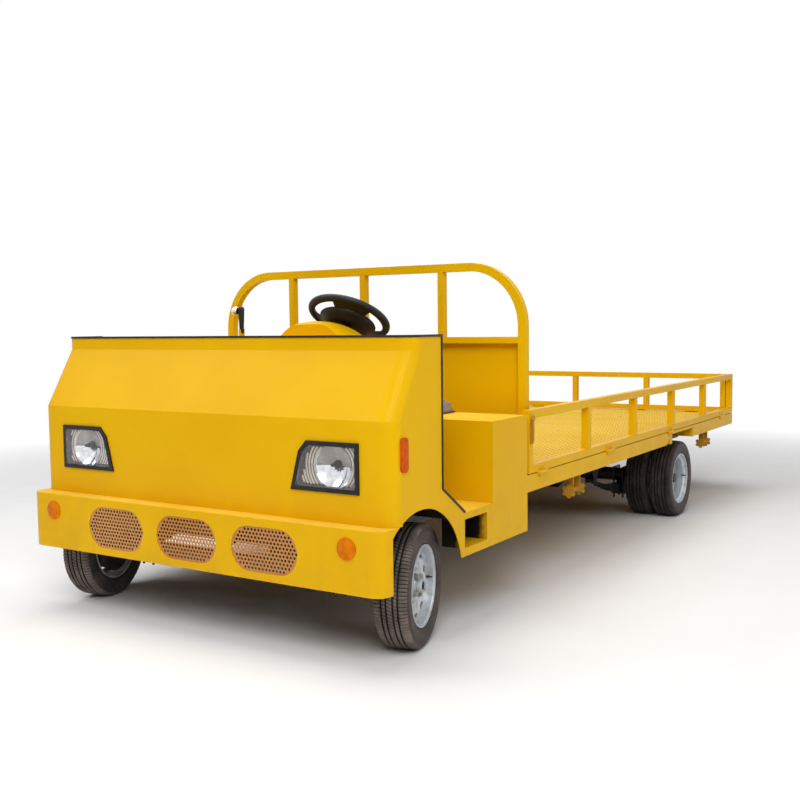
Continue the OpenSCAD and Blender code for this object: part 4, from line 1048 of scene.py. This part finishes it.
def add_world():
    """White backdrop, with a soft sky that is brighter overhead for the light itself."""
    world = bpy.data.worlds.new("studio")
    scene.world = world
    world.use_nodes = True
    tree = world.node_tree
    sky = tree.nodes["Background"]
    up = tree.nodes.new("ShaderNodeSeparateXYZ")
    tree.links.new(tree.nodes.new("ShaderNodeTexCoord").outputs["Generated"], up.inputs["Vector"])
    ramp = tree.nodes.new("ShaderNodeMapRange")
    for index, number in enumerate((SKY_FROM, 1.0, SKY_LOW, SKY_HIGH), start=1):
        ramp.inputs[index].default_value = number
    tree.links.new(up.outputs["Z"], ramp.inputs["Value"])
    tree.links.new(ramp.outputs["Result"], sky.inputs["Strength"])
    white = tree.nodes.new("ShaderNodeBackground")
    white.inputs["Strength"].default_value = 1.0
    white.inputs["Color"].default_value = (1, 1, 1, 1)
    mix = tree.nodes.new("ShaderNodeMixShader")
    tree.links.new(seen_directly(tree), mix.inputs["Fac"])
    tree.links.new(sky.outputs["Background"], mix.inputs[1])
    tree.links.new(white.outputs["Background"], mix.inputs[2])
    tree.links.new(mix.outputs["Shader"], tree.nodes["World Output"].inputs["Surface"])


# Name, place, width and watts of each lamp, and what they all point at
LIGHTS = (
    ("key_light", (5.0, -8.0, 7.0), 6.0, 580),
    ("top_light", (-1.0, -1.0, 8.0), 7.0, 400),
    ("front_light", (-5.0, -5.6, 6.6), 4.5, 150),
    ("side_light", (9.0, 1.0, 4.5), 6.0, 140),
)
LIGHTS_AIM = Vector((0, -0.6, 0.6))


def add_light(name, at, size, watts):
    """Soft round studio lamp."""
    data = bpy.data.lights.new(name, "AREA")
    data.shape = "DISK"
    data.size = size
    data.energy = watts
    lamp = bpy.data.objects.new(name, data)
    lamp.matrix_world = facing(at, Vector(at) - LIGHTS_AIM)
    scene.collection.objects.link(lamp)


FLOOR_HALF = 40.0
SHADOW_NEAR = 3.6
SHADOW_FAR = 7.0


def add_floor():
    """Pale floor that keeps the shadow near the truck and runs out into white."""
    mesh = mesh_of("floor", lambda shape: bmesh.ops.create_grid(
        shape, x_segments=8, y_segments=8, size=FLOOR_HALF))
    floor = bpy.data.objects.new("floor", mesh)
    scene.collection.objects.link(floor)
    look = Surface("floor")
    tree = look.tree
    grain = look.level(look.noise(3, 3), 0.3, 0.7)
    look.set(Base_Color=look.mix(grain, srgb(250, 250, 250), srgb(253, 253, 253)), Roughness=0.85)
    look.set(Specular_IOR_Level=0.0)
    length = look.add("ShaderNodeVectorMath", operation="LENGTH")
    look.feed(length.inputs[0], look.place)
    far = look.level(length.outputs["Value"], SHADOW_NEAR, SHADOW_FAR)
    white = look.add("ShaderNodeEmission")
    white.inputs["Strength"].default_value = 1.0
    mix = look.add("ShaderNodeMixShader")
    look.feed(mix.inputs["Fac"], look.math("MULTIPLY", far, seen_directly(tree)))
    look.feed(mix.inputs[1], look.shader.outputs["BSDF"])
    look.feed(mix.inputs[2], white.outputs["Emission"])
    look.feed(tree.nodes["Material Output"].inputs["Surface"], mix.outputs["Shader"])
    mesh.materials.append(look.material)


dress_cad_nodes()
add_tyres()
add_wheel_fittings()
add_deck_lugs()
add_deck_screws()
add_bench()
add_lamp_inserts()
add_welds()
add_wheel_skirt()
add_camera()
add_world()
for light in LIGHTS:
    add_light(*light)
add_floor()
scene.view_settings.view_transform = "Standard"
